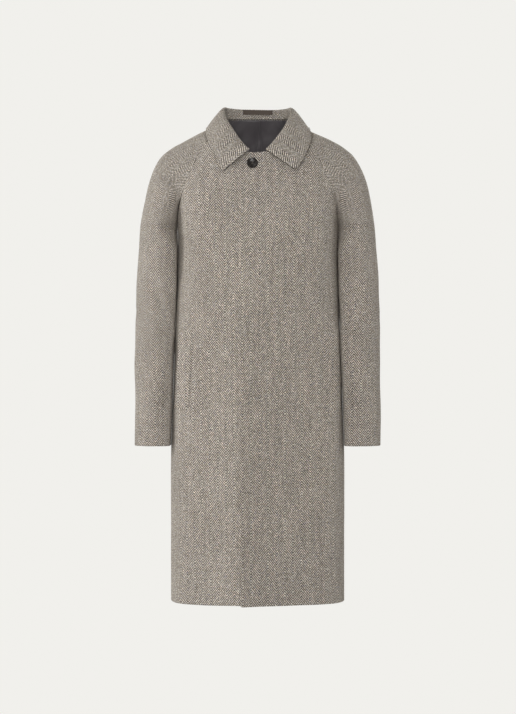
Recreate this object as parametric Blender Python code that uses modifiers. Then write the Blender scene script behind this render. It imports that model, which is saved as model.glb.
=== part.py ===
"""Men's single-breasted raglan overcoat of herringbone wool, in its worn form with nobody in it.

The coat stands upright, front towards -Y and the wearer's left towards +X. Lengths are metres.
The origin is inside the neck, level with the points where the shoulders meet the neck, and is
where the wearer carries the coat. Every cut piece is a wall of cloth of its own:

  front_left, front_right   fly fronts; the wearer's left one laps over the right one
  back                      one panel between the two back raglan seams
  sleeve_SIDE_front, _back  two-piece raglan sleeves, seamed along the shoulder and under the arm
  collar                    the turned-down collar, cut in one with its stand
  back_lining, neck_label   what shows inside the neck
  pocket_welt_SIDE          slanted welts on the fronts
  neck_button               the one button outside the fly
"""

import math

import bmesh
import bpy
import numpy as np
from mathutils import Matrix, Vector

# ---------------------------------------------------------------- driving sizes
CLOTH = 0.0022          # wall of one panel
COLLAR_CLOTH = 0.0026   # collar pieces are interlined
LINING = 0.0010
SEAM_GAP = 0.0003       # between neighbouring pieces
FACET_ALLOWANCE = 0.00015  # more, on each side of a seam, where flat facets round a bend
HEM_Z = -1.080
ARMPIT_Z = -0.225
CUFF_Z = -0.7245
FRONT_EDGE_X = 0.039    # how far each front passes the middle
LAP_SHARE = 0.25        # share of a front's width that lies in the lap
FLY_LIFT = 0.0030       # the lapped front stands this far off the other one
FLY_LIFT_ENDS = (0.045, 0.105)  # it comes back down between these x
UNDER_HEM_RISE = 0.0030  # the front underneath is this much shorter along the lap

# Body sections, front and back: the cloth's outer face at each height.
# side depth is what the panel heads for at full width; power 2 is round, 1 is a flat roof;
# ridge is how far the crown lies towards the wearer's right; corner squares the side.
BODY_COLUMNS = ("height", "half_width", "front_mid", "front_side", "front_power", "ridge",
                "back_mid", "back_side", "corner")
BODY_SECTIONS = (
    (-1.080, 0.1990, 0.1370, 0.0760, 1.10, 0.039, 0.1620, 0.1120, 12.0),
    (-0.900, 0.1990, 0.1340, 0.0800, 1.15, 0.039, 0.1560, 0.1120, 11.0),
    (-0.740, 0.1990, 0.1310, 0.0850, 1.20, 0.039, 0.1490, 0.1120, 10.0),
    (-0.620, 0.1945, 0.1290, 0.0890, 1.30, 0.039, 0.1430, 0.1120, 9.0),
    (-0.480, 0.1900, 0.1280, 0.0940, 1.50, 0.034, 0.1380, 0.1130, 8.0),
    (-0.350, 0.1850, 0.1300, 0.1030, 1.80, 0.018, 0.1390, 0.1180, 7.5),
    (-0.225, 0.1840, 0.1300, 0.1180, 2.00, 0.000, 0.1380, 0.1280, 7.0),
    (-0.178, 0.1880, 0.1270, 0.1180, 2.00, 0.000, 0.1345, 0.1225, 7.0),
    (-0.118, 0.1980, 0.1195, 0.0880, 2.00, 0.000, 0.1265, 0.0990, 7.0),
    (-0.074, 0.2030, 0.1110, 0.0430, 2.00, 0.000, 0.1155, 0.0720, 7.0),
    (-0.028, 0.2070, 0.0980, -0.0460, 2.00, 0.000, 0.0990, -0.0020, 7.0),
    (0.004, 0.2090, 0.0820, -0.1900, 2.00, 0.000, 0.0850, -0.0500, 7.0),
    (0.034, 0.2100, 0.0680, -0.3000, 2.00, 0.000, 0.0690, -0.0900, 7.0),
)

# Largest folds. Each runs from a top to a foot, at an x and a height, and stands out (or, below
# nothing, sinks in) by its depth; width is its half width where it has died away to a third.
BODY_FOLD_COLUMNS = ("top_x", "top_z", "foot_x", "foot_z", "width", "depth")
FRONT_FOLDS = (
    (-0.047, -0.300, -0.043, -1.500, 0.030, 0.0062),
    (-0.166, -0.190, -0.104, -0.315, 0.017, -0.0022),
    (-0.098, -0.420, -0.112, -0.700, 0.020, -0.0036),
    (-0.071, -0.640, -0.066, -1.300, 0.027, 0.0026),
    (0.162, -0.205, 0.112, -0.335, 0.017, -0.0020),
    (0.074, -0.470, 0.084, -0.880, 0.024, -0.0022),
    (0.116, -0.600, 0.130, -1.300, 0.030, 0.0034),
)
BACK_FOLDS = (
    (-0.104, -0.150, -0.126, -0.450, 0.021, -0.0044),
    (0.100, -0.135, 0.118, -0.480, 0.023, -0.0050),
    (-0.082, -0.480, -0.101, -1.300, 0.034, 0.0080),
    (0.006, -0.560, -0.004, -1.300, 0.036, -0.0070),
    (0.090, -0.440, 0.106, -1.300, 0.033, 0.0074),
)
# Sleeve folds in shares of the panel's width and length; side is 1 on the wearer's left.
SLEEVE_FOLD_COLUMNS = ("side", "front", "top_u", "top_v", "foot_u", "foot_v", "width", "depth")
SLEEVE_FOLDS = (
    (-1, 1, 0.62, 0.46, 0.16, 0.66, 0.013, -0.0046),
    (-1, 1, 0.70, 0.60, 0.30, 0.74, 0.012, -0.0016),
    (1, 1, 0.30, 0.47, 0.72, 0.61, 0.013, -0.0034),
    (1, 1, 0.28, 0.60, 0.66, 0.72, 0.012, -0.0018),
    (-1, 0, 0.24, 0.52, 0.74, 0.63, 0.014, -0.0034),
    (-1, 0, 0.30, 0.62, 0.76, 0.68, 0.012, -0.0026),
    (1, 0, 0.70, 0.50, 0.24, 0.62, 0.014, -0.0036),
    (1, 0, 0.76, 0.60, 0.30, 0.68, 0.012, -0.0024),
)
SLEEVE_FOLD_SIZE = (0.15, 0.86)   # a sleeve panel's width and length, to measure its folds in
FOLD_END = 0.35         # share of a fold's length over which it dies away at each end

# Raglan seams: how far out each seam lies at a height.
FRONT_RAGLAN = (
    (-0.2250, 0.1840),
    (-0.2000, 0.1822),
    (-0.1780, 0.1788),
    (-0.1580, 0.1730),
    (-0.1175, 0.1593),
    (-0.0735, 0.1393),
    (-0.0283, 0.1126),
    (0.0040, 0.0740),
)
BACK_RAGLAN = (
    (-0.2250, 0.1840),
    (-0.1700, 0.1770),
    (-0.1200, 0.1590),
    (-0.0700, 0.1330),
    (-0.0200, 0.0990),
    (0.0300, 0.0620),
)

# Neck edge: its height at each distance from the middle.
FRONT_NECK = (
    (-0.0450, -0.0635),
    (0.0000, -0.0625),
    (0.0180, -0.0605),
    (0.0380, -0.0490),
    (0.0570, -0.0260),
    (0.0740, 0.0040),
)
BACK_NECK = (
    (0.0000, 0.0320),
    (0.0300, 0.0318),
    (0.0620, 0.0300),
)
NECK_EASE = 0.86        # from this share of a body panel's length its rows bend to the neck edge
NECK_SHARES = (0.26, 0.55)  # of the neck seam from the middle of the back: back, then shoulder

# Where the rows of fronts, back and sleeves meet on the raglan seams: heights at each share of
# the way from the armpit to the neck.
RAGLAN_RISE = (
    (0.00, -0.2250, -0.2250),
    (0.12, -0.2060, -0.2070),
    (0.24, -0.1820, -0.1840),
    (0.35, -0.1550, -0.1560),
    (0.44, -0.1310, -0.1320),
    (0.55, -0.1010, -0.1000),
    (0.68, -0.0670, -0.0640),
    (0.81, -0.0330, -0.0225),
    (1.00, 0.0040, 0.0300),
)
BODY_ARMPIT = 0.60      # share of a body panel's rows below the armpit
SLEEVE_ARMPIT = 0.375   # share of a sleeve's rows above the armpit
# Heights of the body's rows below the armpit.
BODY_ROWS = (
    (0.00, -1.080),
    (0.30, -0.620),
    (0.50, -0.325),
    (0.60, -0.225),
)

# Sleeve ribs, from the neck to the cuff. Each rib is an arc from a seam on the body side
# to the seam along the shoulder and the outside of the arm. arm_turn is 0 where the arc
# leaves along the chest and 1 where it leaves straight forward, as round an arm.
SLEEVE_COLUMNS = ("along", "over_x", "over_y", "over_z", "front_reach", "front_over_reach",
                  "back_reach", "back_over_reach", "arm_turn")
SLEEVE_RIBS = (
    (0.000, 0.0840, 0.004, 0.0175, 0.018, 0.018, 0.018, 0.018, 0.00),
    (0.070, 0.1320, 0.005, -0.0070, 0.024, 0.026, 0.026, 0.028, 0.00),
    (0.120, 0.1670, 0.006, -0.0240, 0.032, 0.036, 0.036, 0.038, 0.00),
    (0.170, 0.1990, 0.006, -0.0420, 0.038, 0.048, 0.041, 0.050, 0.10),
    (0.210, 0.2220, 0.006, -0.0620, 0.042, 0.060, 0.044, 0.062, 0.25),
    (0.245, 0.2380, 0.006, -0.0900, 0.044, 0.076, 0.046, 0.079, 0.45),
    (0.285, 0.2510, 0.006, -0.1260, 0.050, 0.091, 0.052, 0.095, 0.70),
    (0.330, 0.2610, 0.005, -0.1700, 0.072, 0.104, 0.076, 0.109, 0.92),
    (0.375, 0.2690, 0.004, -0.2200, 0.106, 0.111, 0.110, 0.116, 1.00),
    (0.440, 0.2740, 0.002, -0.2850, 0.112, 0.109, 0.115, 0.114, 1.00),
    (0.560, 0.2793, -0.004, -0.3800, 0.101, 0.099, 0.106, 0.104, 1.00),
    (0.700, 0.2807, -0.010, -0.4900, 0.091, 0.089, 0.096, 0.094, 1.00),
    (0.850, 0.2813, -0.014, -0.6100, 0.083, 0.081, 0.085, 0.084, 1.00),
    (1.000, 0.2818, -0.016, -0.7245, 0.077, 0.076, 0.077, 0.077, 1.00),
)
# The seam under the arm: its y at each height. It hangs this clear of the body's side.
UNDERARM = (
    (-0.7245, -0.014),
    (-0.6200, -0.012),
    (-0.4900, -0.009),
    (-0.3800, -0.004),
    (-0.2850, 0.000),
    (-0.2250, 0.000),
)
ARM_CLEAR = 0.0007
ARM_CLEAR_TOP = -0.185   # it closes up to the raglan seam from the armpit to this height
# Below the armpit the sleeve's inner side lies along the rounding of the body's side.
HUG_FOOT = -0.290        # fully so from this height down
HUG_FLATTEN = 0.4        # the greater, the flatter the inner side
HUG_MOST = 0.90          # of the side's depth, at most, in following it

# The collar from the middle of the back round to its front end: its place on the neck seam, its
# fold, and its outer edge.
# lean is the way the fold faces, in degrees from straight back towards the front; roll is how
# far the leaf stands out at the fold, and belly how full it is above its edge.
COLLAR_COLUMNS = ("along", "seam", "fold_x", "fold_y", "fold_z", "edge_x", "edge_y", "edge_z",
                  "lean", "roll", "belly")
COLLAR_RIBS = (
    (0.00, 0.000, 0.0000, 0.0750, 0.0560, 0.0000, 0.1000, -0.0120, 0.0, 0.014, 0.006),
    (0.14, 0.140, 0.0350, 0.0690, 0.0560, 0.0480, 0.0960, -0.0105, 24.0, 0.014, 0.006),
    (0.28, 0.275, 0.0650, 0.0500, 0.0560, 0.0920, 0.0750, -0.0045, 52.0, 0.013, 0.006),
    (0.42, 0.360, 0.0770, 0.0230, 0.0545, 0.1165, 0.0260, 0.0050, 82.0, 0.010, 0.003),
    (0.54, 0.450, 0.0768, -0.0110, 0.0395, 0.1190, -0.0190, -0.0010, 102.0, 0.011, 0.004),
    (0.66, 0.540, 0.0700, -0.0450, 0.0170, 0.1145, -0.0600, -0.0240, 120.0, 0.013, 0.008),
    (0.78, 0.650, 0.0550, -0.0770, -0.0105, 0.1025, -0.0905, -0.0525, 138.0, 0.014, 0.010),
    (0.89, 0.810, 0.0355, -0.1010, -0.0370, 0.0910, -0.1085, -0.0790, 152.0, 0.013, 0.009),
    (1.00, 1.000, 0.0180, -0.1160, -0.0560, 0.0790, -0.1185, -0.1020, 168.0, 0.008, 0.005),
)
LEFT_LEAF_SPREAD = 0.009   # the leaf on the wearer's left lies this much wider over the chest
LEFT_TIP_SPREAD = 0.0065   # and its tip this much
LEFT_LEAF_LIFT = 0.0040    # its edge stands this far off the chest
RIGHT_TIP_LIFT = 0.0030    # the other leaf stands off at its front end only
RIGHT_TIP_DROP = 0.0030    # and hangs lower there
LEAF_WIDENS = (0.42, 0.82)  # shares of the way round between which the left leaf does so
LEAF_TIP_FROM = 0.85
COLLAR_END_X = 0.018
STAND_INSET = 0.0035    # its face lies inside the neck seam by this, flush with the lining
STAND_LIFT = 0.0013
FOLD_HALF_WIDTH = 0.007
FOLD_AT = 1 / 3         # share of a rib at which the collar folds over
STAND_HANDLE = 0.5      # how much of the way to the fold the stand's curve heads straight up it
LEAF_HANDLE = 0.4

BUTTON_CENTRE = (-0.0115, -0.0884)   # x and z on the lapped front
BUTTON_SHANK = 0.0012                # thread between the front and the button's back
BUTTON_HOLE_RADIUS = 0.0010
BUTTON_HOLE_OFFSET = 0.0021
BUTTON_STEPS = 24
# The button's turned outline, from the middle of its face over the rim to the middle of its back.
BUTTON_PROFILE = (
    (0.0000, 0.0026),
    (0.0050, 0.0026),
    (0.0078, 0.0030),
    (0.0092, 0.0040),
    (0.0106, 0.0044),
    (0.0119, 0.0038),
    (0.0125, 0.0026),
    (0.0119, 0.0012),
    (0.0090, 0.0002),
    (0.0000, 0.0000),
)

WELT_TOP = (0.1440, -0.4680)         # forward edge of the pocket welt: x and z
WELT_FOOT = (0.1570, -0.6410)
WELT_TURN = 0.200                    # how far it runs back round the side
WELT_CLOTH = 0.0024
WELT_CLEAR = 0.0006
WELT_SPRING = 0.0024                 # its open edge stands this far off the front

LINING_FOOT = 0.50                   # share of the back's rows below the lining
LINING_SIDE = 0.05                   # and of its width beside it
LINING_CLEAR = 0.0026
PLEAT_X = 0.003
PLEAT_DEPTH = 0.0060
PLEAT_FRONT = 0.006
PLEAT_BEHIND = 0.030

LABEL_WIDTH = 0.069
LABEL_CLOTH = 0.0008
LABEL_CLEAR = 0.0009
LABEL_FOOT_V = 0.100
LABEL_TOP_V = 0.262

# Facets: how many columns and rows lie between the marks of each panel.
FRONT_COLUMN_COUNTS = (3, 9)
BACK_COLUMN_COUNTS = (18,)
BODY_ROW_COUNTS = (14, 12)
SLEEVE_COLUMN_COUNTS = (8,)
SLEEVE_ROW_COUNTS = (12, 14)
COLLAR_COLUMN_COUNTS = (34,)
COLLAR_ROW_COUNTS = (15,)
WELT_COLUMN_COUNTS = (5,)
WELT_ROW_COUNTS = (8,)
LINING_COLUMN_COUNTS = (16,)
LINING_ROW_COUNTS = (12,)
LABEL_COLUMN_COUNTS = (8,)
LABEL_ROW_COUNTS = (2,)
SHARP_ANGLE = math.radians(50)
LEAST_SLANT = 0.2        # a row meeting a seam at less than this sine counts as this

# Colour and roughness.
WOOL_LOOK = ((0.33, 0.29, 0.25), 0.95)
LINING_LOOK = ((0.045, 0.040, 0.042), 0.6)
LABEL_LOOK = ((0.075, 0.055, 0.040), 0.7)
BUTTON_LOOK = ((0.030, 0.028, 0.027), 0.35)


# ---------------------------------------------------------------- curves through tables
def table_at(table, key):
    """The other columns of a table at a key, on a smooth curve through its rows."""
    rows = np.array(table, float)
    keys = rows[:, 0]
    values = rows[:, 1:]
    slopes = np.gradient(values, keys, axis=0)
    key = np.clip(np.asarray(key, float), keys[0], keys[-1])
    row = np.clip(np.searchsorted(keys, key, side="right") - 1, 0, len(keys) - 2)
    step = keys[row + 1] - keys[row]
    part = ((key - keys[row]) / step)[..., None]
    step = step[..., None]
    return (
        (2 * part**3 - 3 * part**2 + 1) * values[row]
        + (part**3 - 2 * part**2 + part) * step * slopes[row]
        + (3 * part**2 - 2 * part**3) * values[row + 1]
        + (part**3 - part**2) * step * slopes[row + 1]
    )


def smooth_step(low, high, value):
    part = np.clip((value - low) / (high - low), 0, 1)
    return part * part * (3 - 2 * part)


def bezier(start, start_arm, end_arm, end, t):
    t = t[..., None]
    return (
        (1 - t) ** 3 * start
        + 3 * (1 - t) ** 2 * t * (start + start_arm)
        + 3 * (1 - t) * t**2 * (end + end_arm)
        + t**3 * end
    )


def unit(vectors):
    return vectors / np.linalg.norm(vectors, axis=-1, keepdims=True)


def stacked(x, y, z):
    return np.stack(np.broadcast_arrays(x, y, z), axis=-1)


def fold_height(across, along, top, foot, width, depth):
    """How far one fold stands out at (across, along); it dies away at both its ends."""
    way = np.array(foot) - np.array(top)
    length = math.hypot(*way)
    beside = across - top[0]
    below = along - top[1]
    run = (beside * way[0] + below * way[1]) / length**2
    off = (beside * way[1] - below * way[0]) / length
    ends = smooth_step(0.0, FOLD_END, run) * smooth_step(0.0, FOLD_END, 1 - run)
    return depth * ends * np.exp(-((off / width) ** 2))


# ---------------------------------------------------------------- the body's surface
def body_point(turn, height, front):
    """Outer face of the body. turn is -1 at the wearer's right side seam, 0 in the middle
    and 1 at the left side seam."""
    columns = dict(zip(BODY_COLUMNS[1:], np.moveaxis(table_at(BODY_SECTIONS, height), -1, 0)))
    across = np.sin(turn * math.pi / 2)
    half_width = columns["half_width"]
    x = half_width * across
    crown = -columns["ridge"] / half_width if front else 0.0
    spread = np.where(across > crown, 1 - crown, 1 + crown)
    off_crown = np.abs(across - crown) / spread
    name = "front" if front else "back"
    power = columns["front_power"] if front else 2.0
    depth = columns[name + "_mid"]
    depth = depth - (depth - columns[name + "_side"]) * off_crown**power
    for top_x, top_z, foot_x, foot_z, width, stands in FRONT_FOLDS if front else BACK_FOLDS:
        depth = depth + fold_height(x, height, (top_x, top_z), (foot_x, foot_z), width, stands)
    depth = depth * np.sqrt(np.clip(1 - np.abs(across) ** columns["corner"], 0, 1))
    return stacked(x, -depth if front else depth, height)


def body_turn(x, height):
    """The turn at which the body's surface has this x."""
    half_width = table_at(BODY_SECTIONS, height)[..., 0]
    return np.arcsin(np.clip(x / half_width, -1, 1)) * 2 / math.pi


def body_normal(turn, height, front):
    small = 0.001
    turn = np.clip(turn, -1 + small, 1 - small)
    across = body_point(turn + small, height, front) - body_point(turn - small, height, front)
    up = body_point(turn, height + small, front) - body_point(turn, height - small, front)
    normal = unit(np.cross(across, up))
    return normal if front else -normal


# ---------------------------------------------------------------- the panels
def raglan_height(share, front):
    return table_at(RAGLAN_RISE, share)[..., 0 if front else 1]


def row_height(v, front):
    """Height of a body panel's row at its side: up the side seam, then the raglan seam."""
    below = table_at(BODY_ROWS, np.minimum(v, BODY_ARMPIT))[..., 0]
    above = raglan_height((v - BODY_ARMPIT) / (1 - BODY_ARMPIT), front)
    return np.where(v < BODY_ARMPIT, below, above)


def front_point(u, v):
    """Turn and height on a front as if on the wearer's left. u runs from its edge to the side
    seam and the raglan seam, and v from the hem to the neck."""
    neck_z = FRONT_RAGLAN[-1][0]
    seam_z = row_height(v, True)
    edge_z = HEM_Z + (FRONT_NECK[0][1] - HEM_Z) * (seam_z - HEM_Z) / (neck_z - HEM_Z)
    seam_x = np.where(seam_z > ARMPIT_Z, table_at(FRONT_RAGLAN, seam_z)[..., 0], 1.0)
    lap_turn = body_turn(FRONT_EDGE_X, edge_z)
    turn = np.where(
        u < LAP_SHARE,
        lap_turn * (2 * u / LAP_SHARE - 1),
        lap_turn + (body_turn(seam_x, seam_z) - lap_turn) * (u - LAP_SHARE) / (1 - LAP_SHARE),
    )
    level = edge_z + (seam_z - edge_z) * u
    half_width = table_at(BODY_SECTIONS, level)[..., 0]
    x = half_width * np.sin(turn * math.pi / 2)
    neck = table_at(FRONT_NECK, x)[..., 0]
    top = FRONT_NECK[0][1] + (neck_z - FRONT_NECK[0][1]) * u
    level = level + (neck - top) * smooth_step(NECK_EASE, 1.0, v)
    return turn, level


def front_surface(u, v, over, mirror):
    """One front; over lifts it onto the other front."""
    turn, level = front_point(u, v)
    if not over:
        beside_lap = smooth_step(LAP_SHARE, 2 * LAP_SHARE, u)
        return body_point(turn * mirror, level + UNDER_HEM_RISE * (1 - beside_lap) * (1 - v), True)
    points = body_point(turn * mirror, level, True)
    normal = body_normal(turn * mirror, level, True)
    lift = FLY_LIFT * (1 - smooth_step(*FLY_LIFT_ENDS, points[..., 0]))
    return points + normal * lift[..., None]


def back_surface(u, v):
    """u runs from the wearer's right to the left, v from the hem to the neck."""
    side = 2 * u - 1
    neck_z = BACK_RAGLAN[-1][0]
    seam_z = row_height(v, False)
    seam_x = np.where(seam_z > ARMPIT_Z, table_at(BACK_RAGLAN, seam_z)[..., 0], 1.0)
    turn = body_turn(seam_x, seam_z) * side
    half_width = table_at(BODY_SECTIONS, seam_z)[..., 0]
    x = np.abs(half_width * np.sin(turn * math.pi / 2))
    rise = table_at(BACK_NECK, x)[..., 0] - neck_z
    level = seam_z + rise * smooth_step(NECK_EASE, 1.0, v)
    return body_point(turn, level, False)


def arm_height(v):
    """Height of the seam under the arm, from the armpit to the cuff."""
    over_z = table_at(SLEEVE_RIBS, v)[..., 2]
    armpit_over_z = table_at(SLEEVE_RIBS, SLEEVE_ARMPIT)[..., 2]
    return CUFF_Z + (ARMPIT_Z - CUFF_Z) * (over_z - CUFF_Z) / (armpit_over_z - CUFF_Z)


def seam_point(height, front):
    """The body-side edge of the sleeve: the raglan seam, then the seam under the arm."""
    above = np.maximum(height, ARMPIT_Z)
    raglan = table_at(FRONT_RAGLAN if front else BACK_RAGLAN, above)
    turn = body_turn(raglan[..., 0], above)
    clear = ARM_CLEAR * (1 - smooth_step(ARMPIT_Z, ARM_CLEAR_TOP, height))
    on_body = body_point(turn, above, front) + body_normal(turn, above, front) * clear[..., None]
    below = np.minimum(height, ARMPIT_Z)
    side_x = table_at(BODY_SECTIONS, below)[..., 0] + clear
    on_arm = stacked(side_x, table_at(UNDERARM, below)[..., 0], height)
    return np.where((height > ARMPIT_Z)[..., None], on_body, on_arm), turn


def hugged(points, seam, over, height, front):
    """Points of a sleeve's arc moved towards the body, most of all near the seam under the arm."""
    section = table_at(BODY_SECTIONS, np.minimum(height, ARMPIT_Z))
    columns = dict(zip(BODY_COLUMNS[1:], np.moveaxis(section, -1, 0)))
    weight = 1 - smooth_step(HUG_FOOT, ARMPIT_Z, height)
    share = np.clip((points[..., 0] - seam[..., 0]) / (over[..., 0] - seam[..., 0]), 0, 1)
    side_depth = columns["front_side" if front else "back_side"]
    depth = np.clip(np.abs(points[..., 1] / side_depth), 0, HUG_MOST)
    rounding = columns["half_width"] * (1 - (1 - depth**2) ** (1 / columns["corner"]))
    flat = (over[..., 0] - seam[..., 0]) * (share - share ** (1 + HUG_FLATTEN))
    return points - stacked(weight * (flat + rounding * (1 - share)), 0.0, 0.0)


def sleeve_arc(u, v, front):
    """The smooth left sleeve. u runs from the body-side seam to the shoulder seam, v from the
    neck to the cuff."""
    rib = dict(zip(SLEEVE_COLUMNS[1:], np.moveaxis(table_at(SLEEVE_RIBS, v), -1, 0)))
    name = "front" if front else "back"
    on_raglan = raglan_height(1 - v / SLEEVE_ARMPIT, front)
    height = np.where(v < SLEEVE_ARMPIT, on_raglan, arm_height(v))
    seam, turn = seam_point(height, front)
    over = stacked(rib["over_x"], rib["over_y"], rib["over_z"])
    forward = np.array([0.0, -1.0 if front else 1.0, 0.0])
    chord = over - seam
    normal = body_normal(turn, np.maximum(height, ARMPIT_Z), front)
    along_body = unit(chord - (chord * normal).sum(-1, keepdims=True) * normal)
    turned = rib["arm_turn"][..., None]
    leave = unit((1 - turned) * along_body + turned * forward)
    points = bezier(
        seam,
        leave * rib[name + "_reach"][..., None],
        forward * rib[name + "_over_reach"][..., None],
        over,
        u,
    )
    return hugged(points, seam, over, height, front)


def sleeve_surface(u, v, front, mirror):
    """One sleeve panel with its folds."""
    small = 0.002
    points = sleeve_arc(u, v, front)
    inner_u = np.clip(u, small, 1 - small)
    inner_v = np.clip(v, small, 1 - small)
    across = sleeve_arc(inner_u + small, inner_v, front) - sleeve_arc(inner_u - small, inner_v, front)
    along = sleeve_arc(inner_u, inner_v + small, front) - sleeve_arc(inner_u, inner_v - small, front)
    normal = unit(np.cross(along, across))
    if not front:
        normal = -normal
    width, length = SLEEVE_FOLD_SIZE
    for side, on_front, top_u, top_v, foot_u, foot_v, fold_width, depth in SLEEVE_FOLDS:
        if side != mirror or bool(on_front) != front:
            continue
        stands = fold_height(u * width, v * length, (top_u * width, top_v * length),
                             (foot_u * width, foot_v * length), fold_width, depth)
        points = points + normal * stands[..., None]
    return points * np.array([mirror, 1.0, 1.0])


def neck_point(along):
    """The seam between coat and collar, from the middle of the back (0) to the end of the
    collar at the front (1), on the wearer's left."""
    share_back, share_shoulder = NECK_SHARES
    back_u = 0.5 + 0.5 * np.clip(along / share_back, 0, 1)
    back = back_surface(back_u, np.ones_like(along))
    shoulder = np.clip((along - share_back) / (share_shoulder - share_back), 0, 1)
    behind = sleeve_surface(np.clip(2 * shoulder, 0, 1), np.zeros_like(along), False, 1)
    ahead = sleeve_surface(np.clip(2 - 2 * shoulder, 0, 1), np.zeros_like(along), True, 1)
    edge = -FRONT_EDGE_X
    end_u = (COLLAR_END_X - edge) / (FRONT_RAGLAN[-1][1] - edge)
    front_u = 1 - (1 - end_u) * np.clip((along - share_shoulder) / (1 - share_shoulder), 0, 1)
    front = front_surface(front_u, np.ones_like(along), True, 1)
    points = np.where((along < share_back)[..., None], back, behind)
    points = np.where((shoulder > 0.5)[..., None], ahead, points)
    return np.where((along > share_shoulder)[..., None], front, points)


def collar_rib(along):
    return dict(zip(COLLAR_COLUMNS[1:], np.moveaxis(table_at(COLLAR_RIBS, along), -1, 0)))


def collar_outward(rib):
    lean = np.radians(rib["lean"])
    return stacked(np.sin(lean), np.cos(lean), 0.0)


def collar_surface(u, w):
    """u runs round the neck from the wearer's right to the left. w runs from the neck seam up
    the stand's face (0 to FOLD_AT), over the fold and down the leaf's face to its edge (1)."""
    along = np.abs(2 * u - 1)
    side = np.where(u < 0.5, -1.0, 1.0)
    rib = collar_rib(along)
    fold = stacked(rib["fold_x"], rib["fold_y"], rib["fold_z"])
    outward = collar_outward(rib)

    lift = np.array([0.0, 0.0, STAND_LIFT])
    base = neck_point(rib["seam"]) - outward * STAND_INSET + lift
    stand = bezier(base, (fold - base) * STAND_HANDLE, -outward * FOLD_HALF_WIDTH, fold,
                   np.clip(w / FOLD_AT, 0, 1))

    tip = smooth_step(LEAF_TIP_FROM, 1.0, along)
    wide = smooth_step(*LEAF_WIDENS, along)
    left = side > 0
    spread = left * wide * (LEFT_LEAF_SPREAD + (LEFT_TIP_SPREAD - LEFT_LEAF_SPREAD) * tip)
    lift_off = np.where(left, LEFT_LEAF_LIFT * wide, RIGHT_TIP_LIFT * tip)
    drop = np.where(left, 0.0, RIGHT_TIP_DROP * tip)
    edge = stacked(rib["edge_x"] + spread, rib["edge_y"], rib["edge_z"] - drop)
    edge = edge + outward * lift_off[..., None]
    full = (fold - edge) * LEAF_HANDLE + outward * rib["belly"][..., None]
    leaf = bezier(fold, outward * rib["roll"][..., None], full, edge,
                  np.clip((w - FOLD_AT) / (1 - FOLD_AT), 0, 1))
    points = np.where((w < FOLD_AT)[..., None], stand, leaf)
    return points * stacked(side, 1.0, 1.0)


# ---------------------------------------------------------------- what lies on the panels
def lining_surface(u, v):
    """The lining's face inside the upper back, with a pleat down its middle."""
    row = LINING_FOOT + (1 - LINING_FOOT) * v
    across = LINING_SIDE + (1 - 2 * LINING_SIDE) * u
    base = back_surface(across, row)
    turn = body_turn(base[..., 0], base[..., 2])
    normal = body_normal(turn, base[..., 2], False)
    beside = base[..., 0] - PLEAT_X
    width = np.where(beside > 0, PLEAT_FRONT, PLEAT_BEHIND)
    pleat = PLEAT_DEPTH * np.clip(1 - np.abs(beside) / width, 0, 1) ** 1.5
    inside = CLOTH + LINING + LINING_CLEAR + pleat
    return base - normal * inside[..., None]


def label_surface(u, v):
    """On the stand's face, just under the fold."""
    nearby = 0.07
    x_nearby = collar_surface(np.array([0.5 + nearby]), np.array([LABEL_FOOT_V]))[0, 0]
    reach = LABEL_WIDTH / 2 * nearby / x_nearby
    around = 0.5 + (u - 0.5) * 2 * reach
    base = collar_surface(around, LABEL_FOOT_V + (LABEL_TOP_V - LABEL_FOOT_V) * v)
    rib = collar_rib(np.abs(2 * around - 1))
    side = np.where(around < 0.5, -1.0, 1.0)
    outward = collar_outward(rib) * stacked(side, 1.0, 1.0)
    return base - outward * (LABEL_CLEAR + LABEL_CLOTH)


def welt_surface(u, v, mirror):
    """u runs back from the welt's forward edge, v from its foot to its top."""
    height = WELT_FOOT[1] + (WELT_TOP[1] - WELT_FOOT[1]) * v
    forward_x = WELT_FOOT[0] + (WELT_TOP[0] - WELT_FOOT[0]) * v
    turn = body_turn(forward_x, height)
    turn = turn + u * WELT_TURN
    base = body_point(turn * mirror, height, True)
    normal = body_normal(turn * mirror, height, True)
    proud = WELT_CLEAR + WELT_CLOTH + WELT_SPRING * u * u
    return base + normal * proud[..., None]


def button(material, collection):
    """A dished round button with a rim and four sewing holes, its axis on the front's normal."""
    mesh = bpy.data.meshes.new("neck_button")
    outline = bmesh.new()
    corners = [outline.verts.new((radius, 0.0, height)) for radius, height in BUTTON_PROFILE]
    for first, second in zip(corners, corners[1:]):
        outline.edges.new((first, second))
    outline.to_mesh(mesh)
    outline.free()
    mesh.materials.append(material)
    piece = bpy.data.objects.new("neck_button", mesh)
    collection.objects.link(piece)
    turned = piece.modifiers.new("turned", "SCREW")
    turned.steps = BUTTON_STEPS
    turned.render_steps = BUTTON_STEPS
    turned.use_merge_vertices = True
    turned.merge_threshold = 0.00001
    turned.use_normal_calculate = True

    x, z = BUTTON_CENTRE
    turn = body_turn(np.array([x]), np.array([z]))
    normal = body_normal(turn, np.array([z]), True)[0]
    on_front = body_point(turn, np.array([z]), True)[0]
    seat = on_front + normal * (FLY_LIFT + BUTTON_SHANK)
    piece.location = seat
    piece.rotation_euler = Vector(normal).to_track_quat("Z", "Y").to_euler()
    return piece


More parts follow.
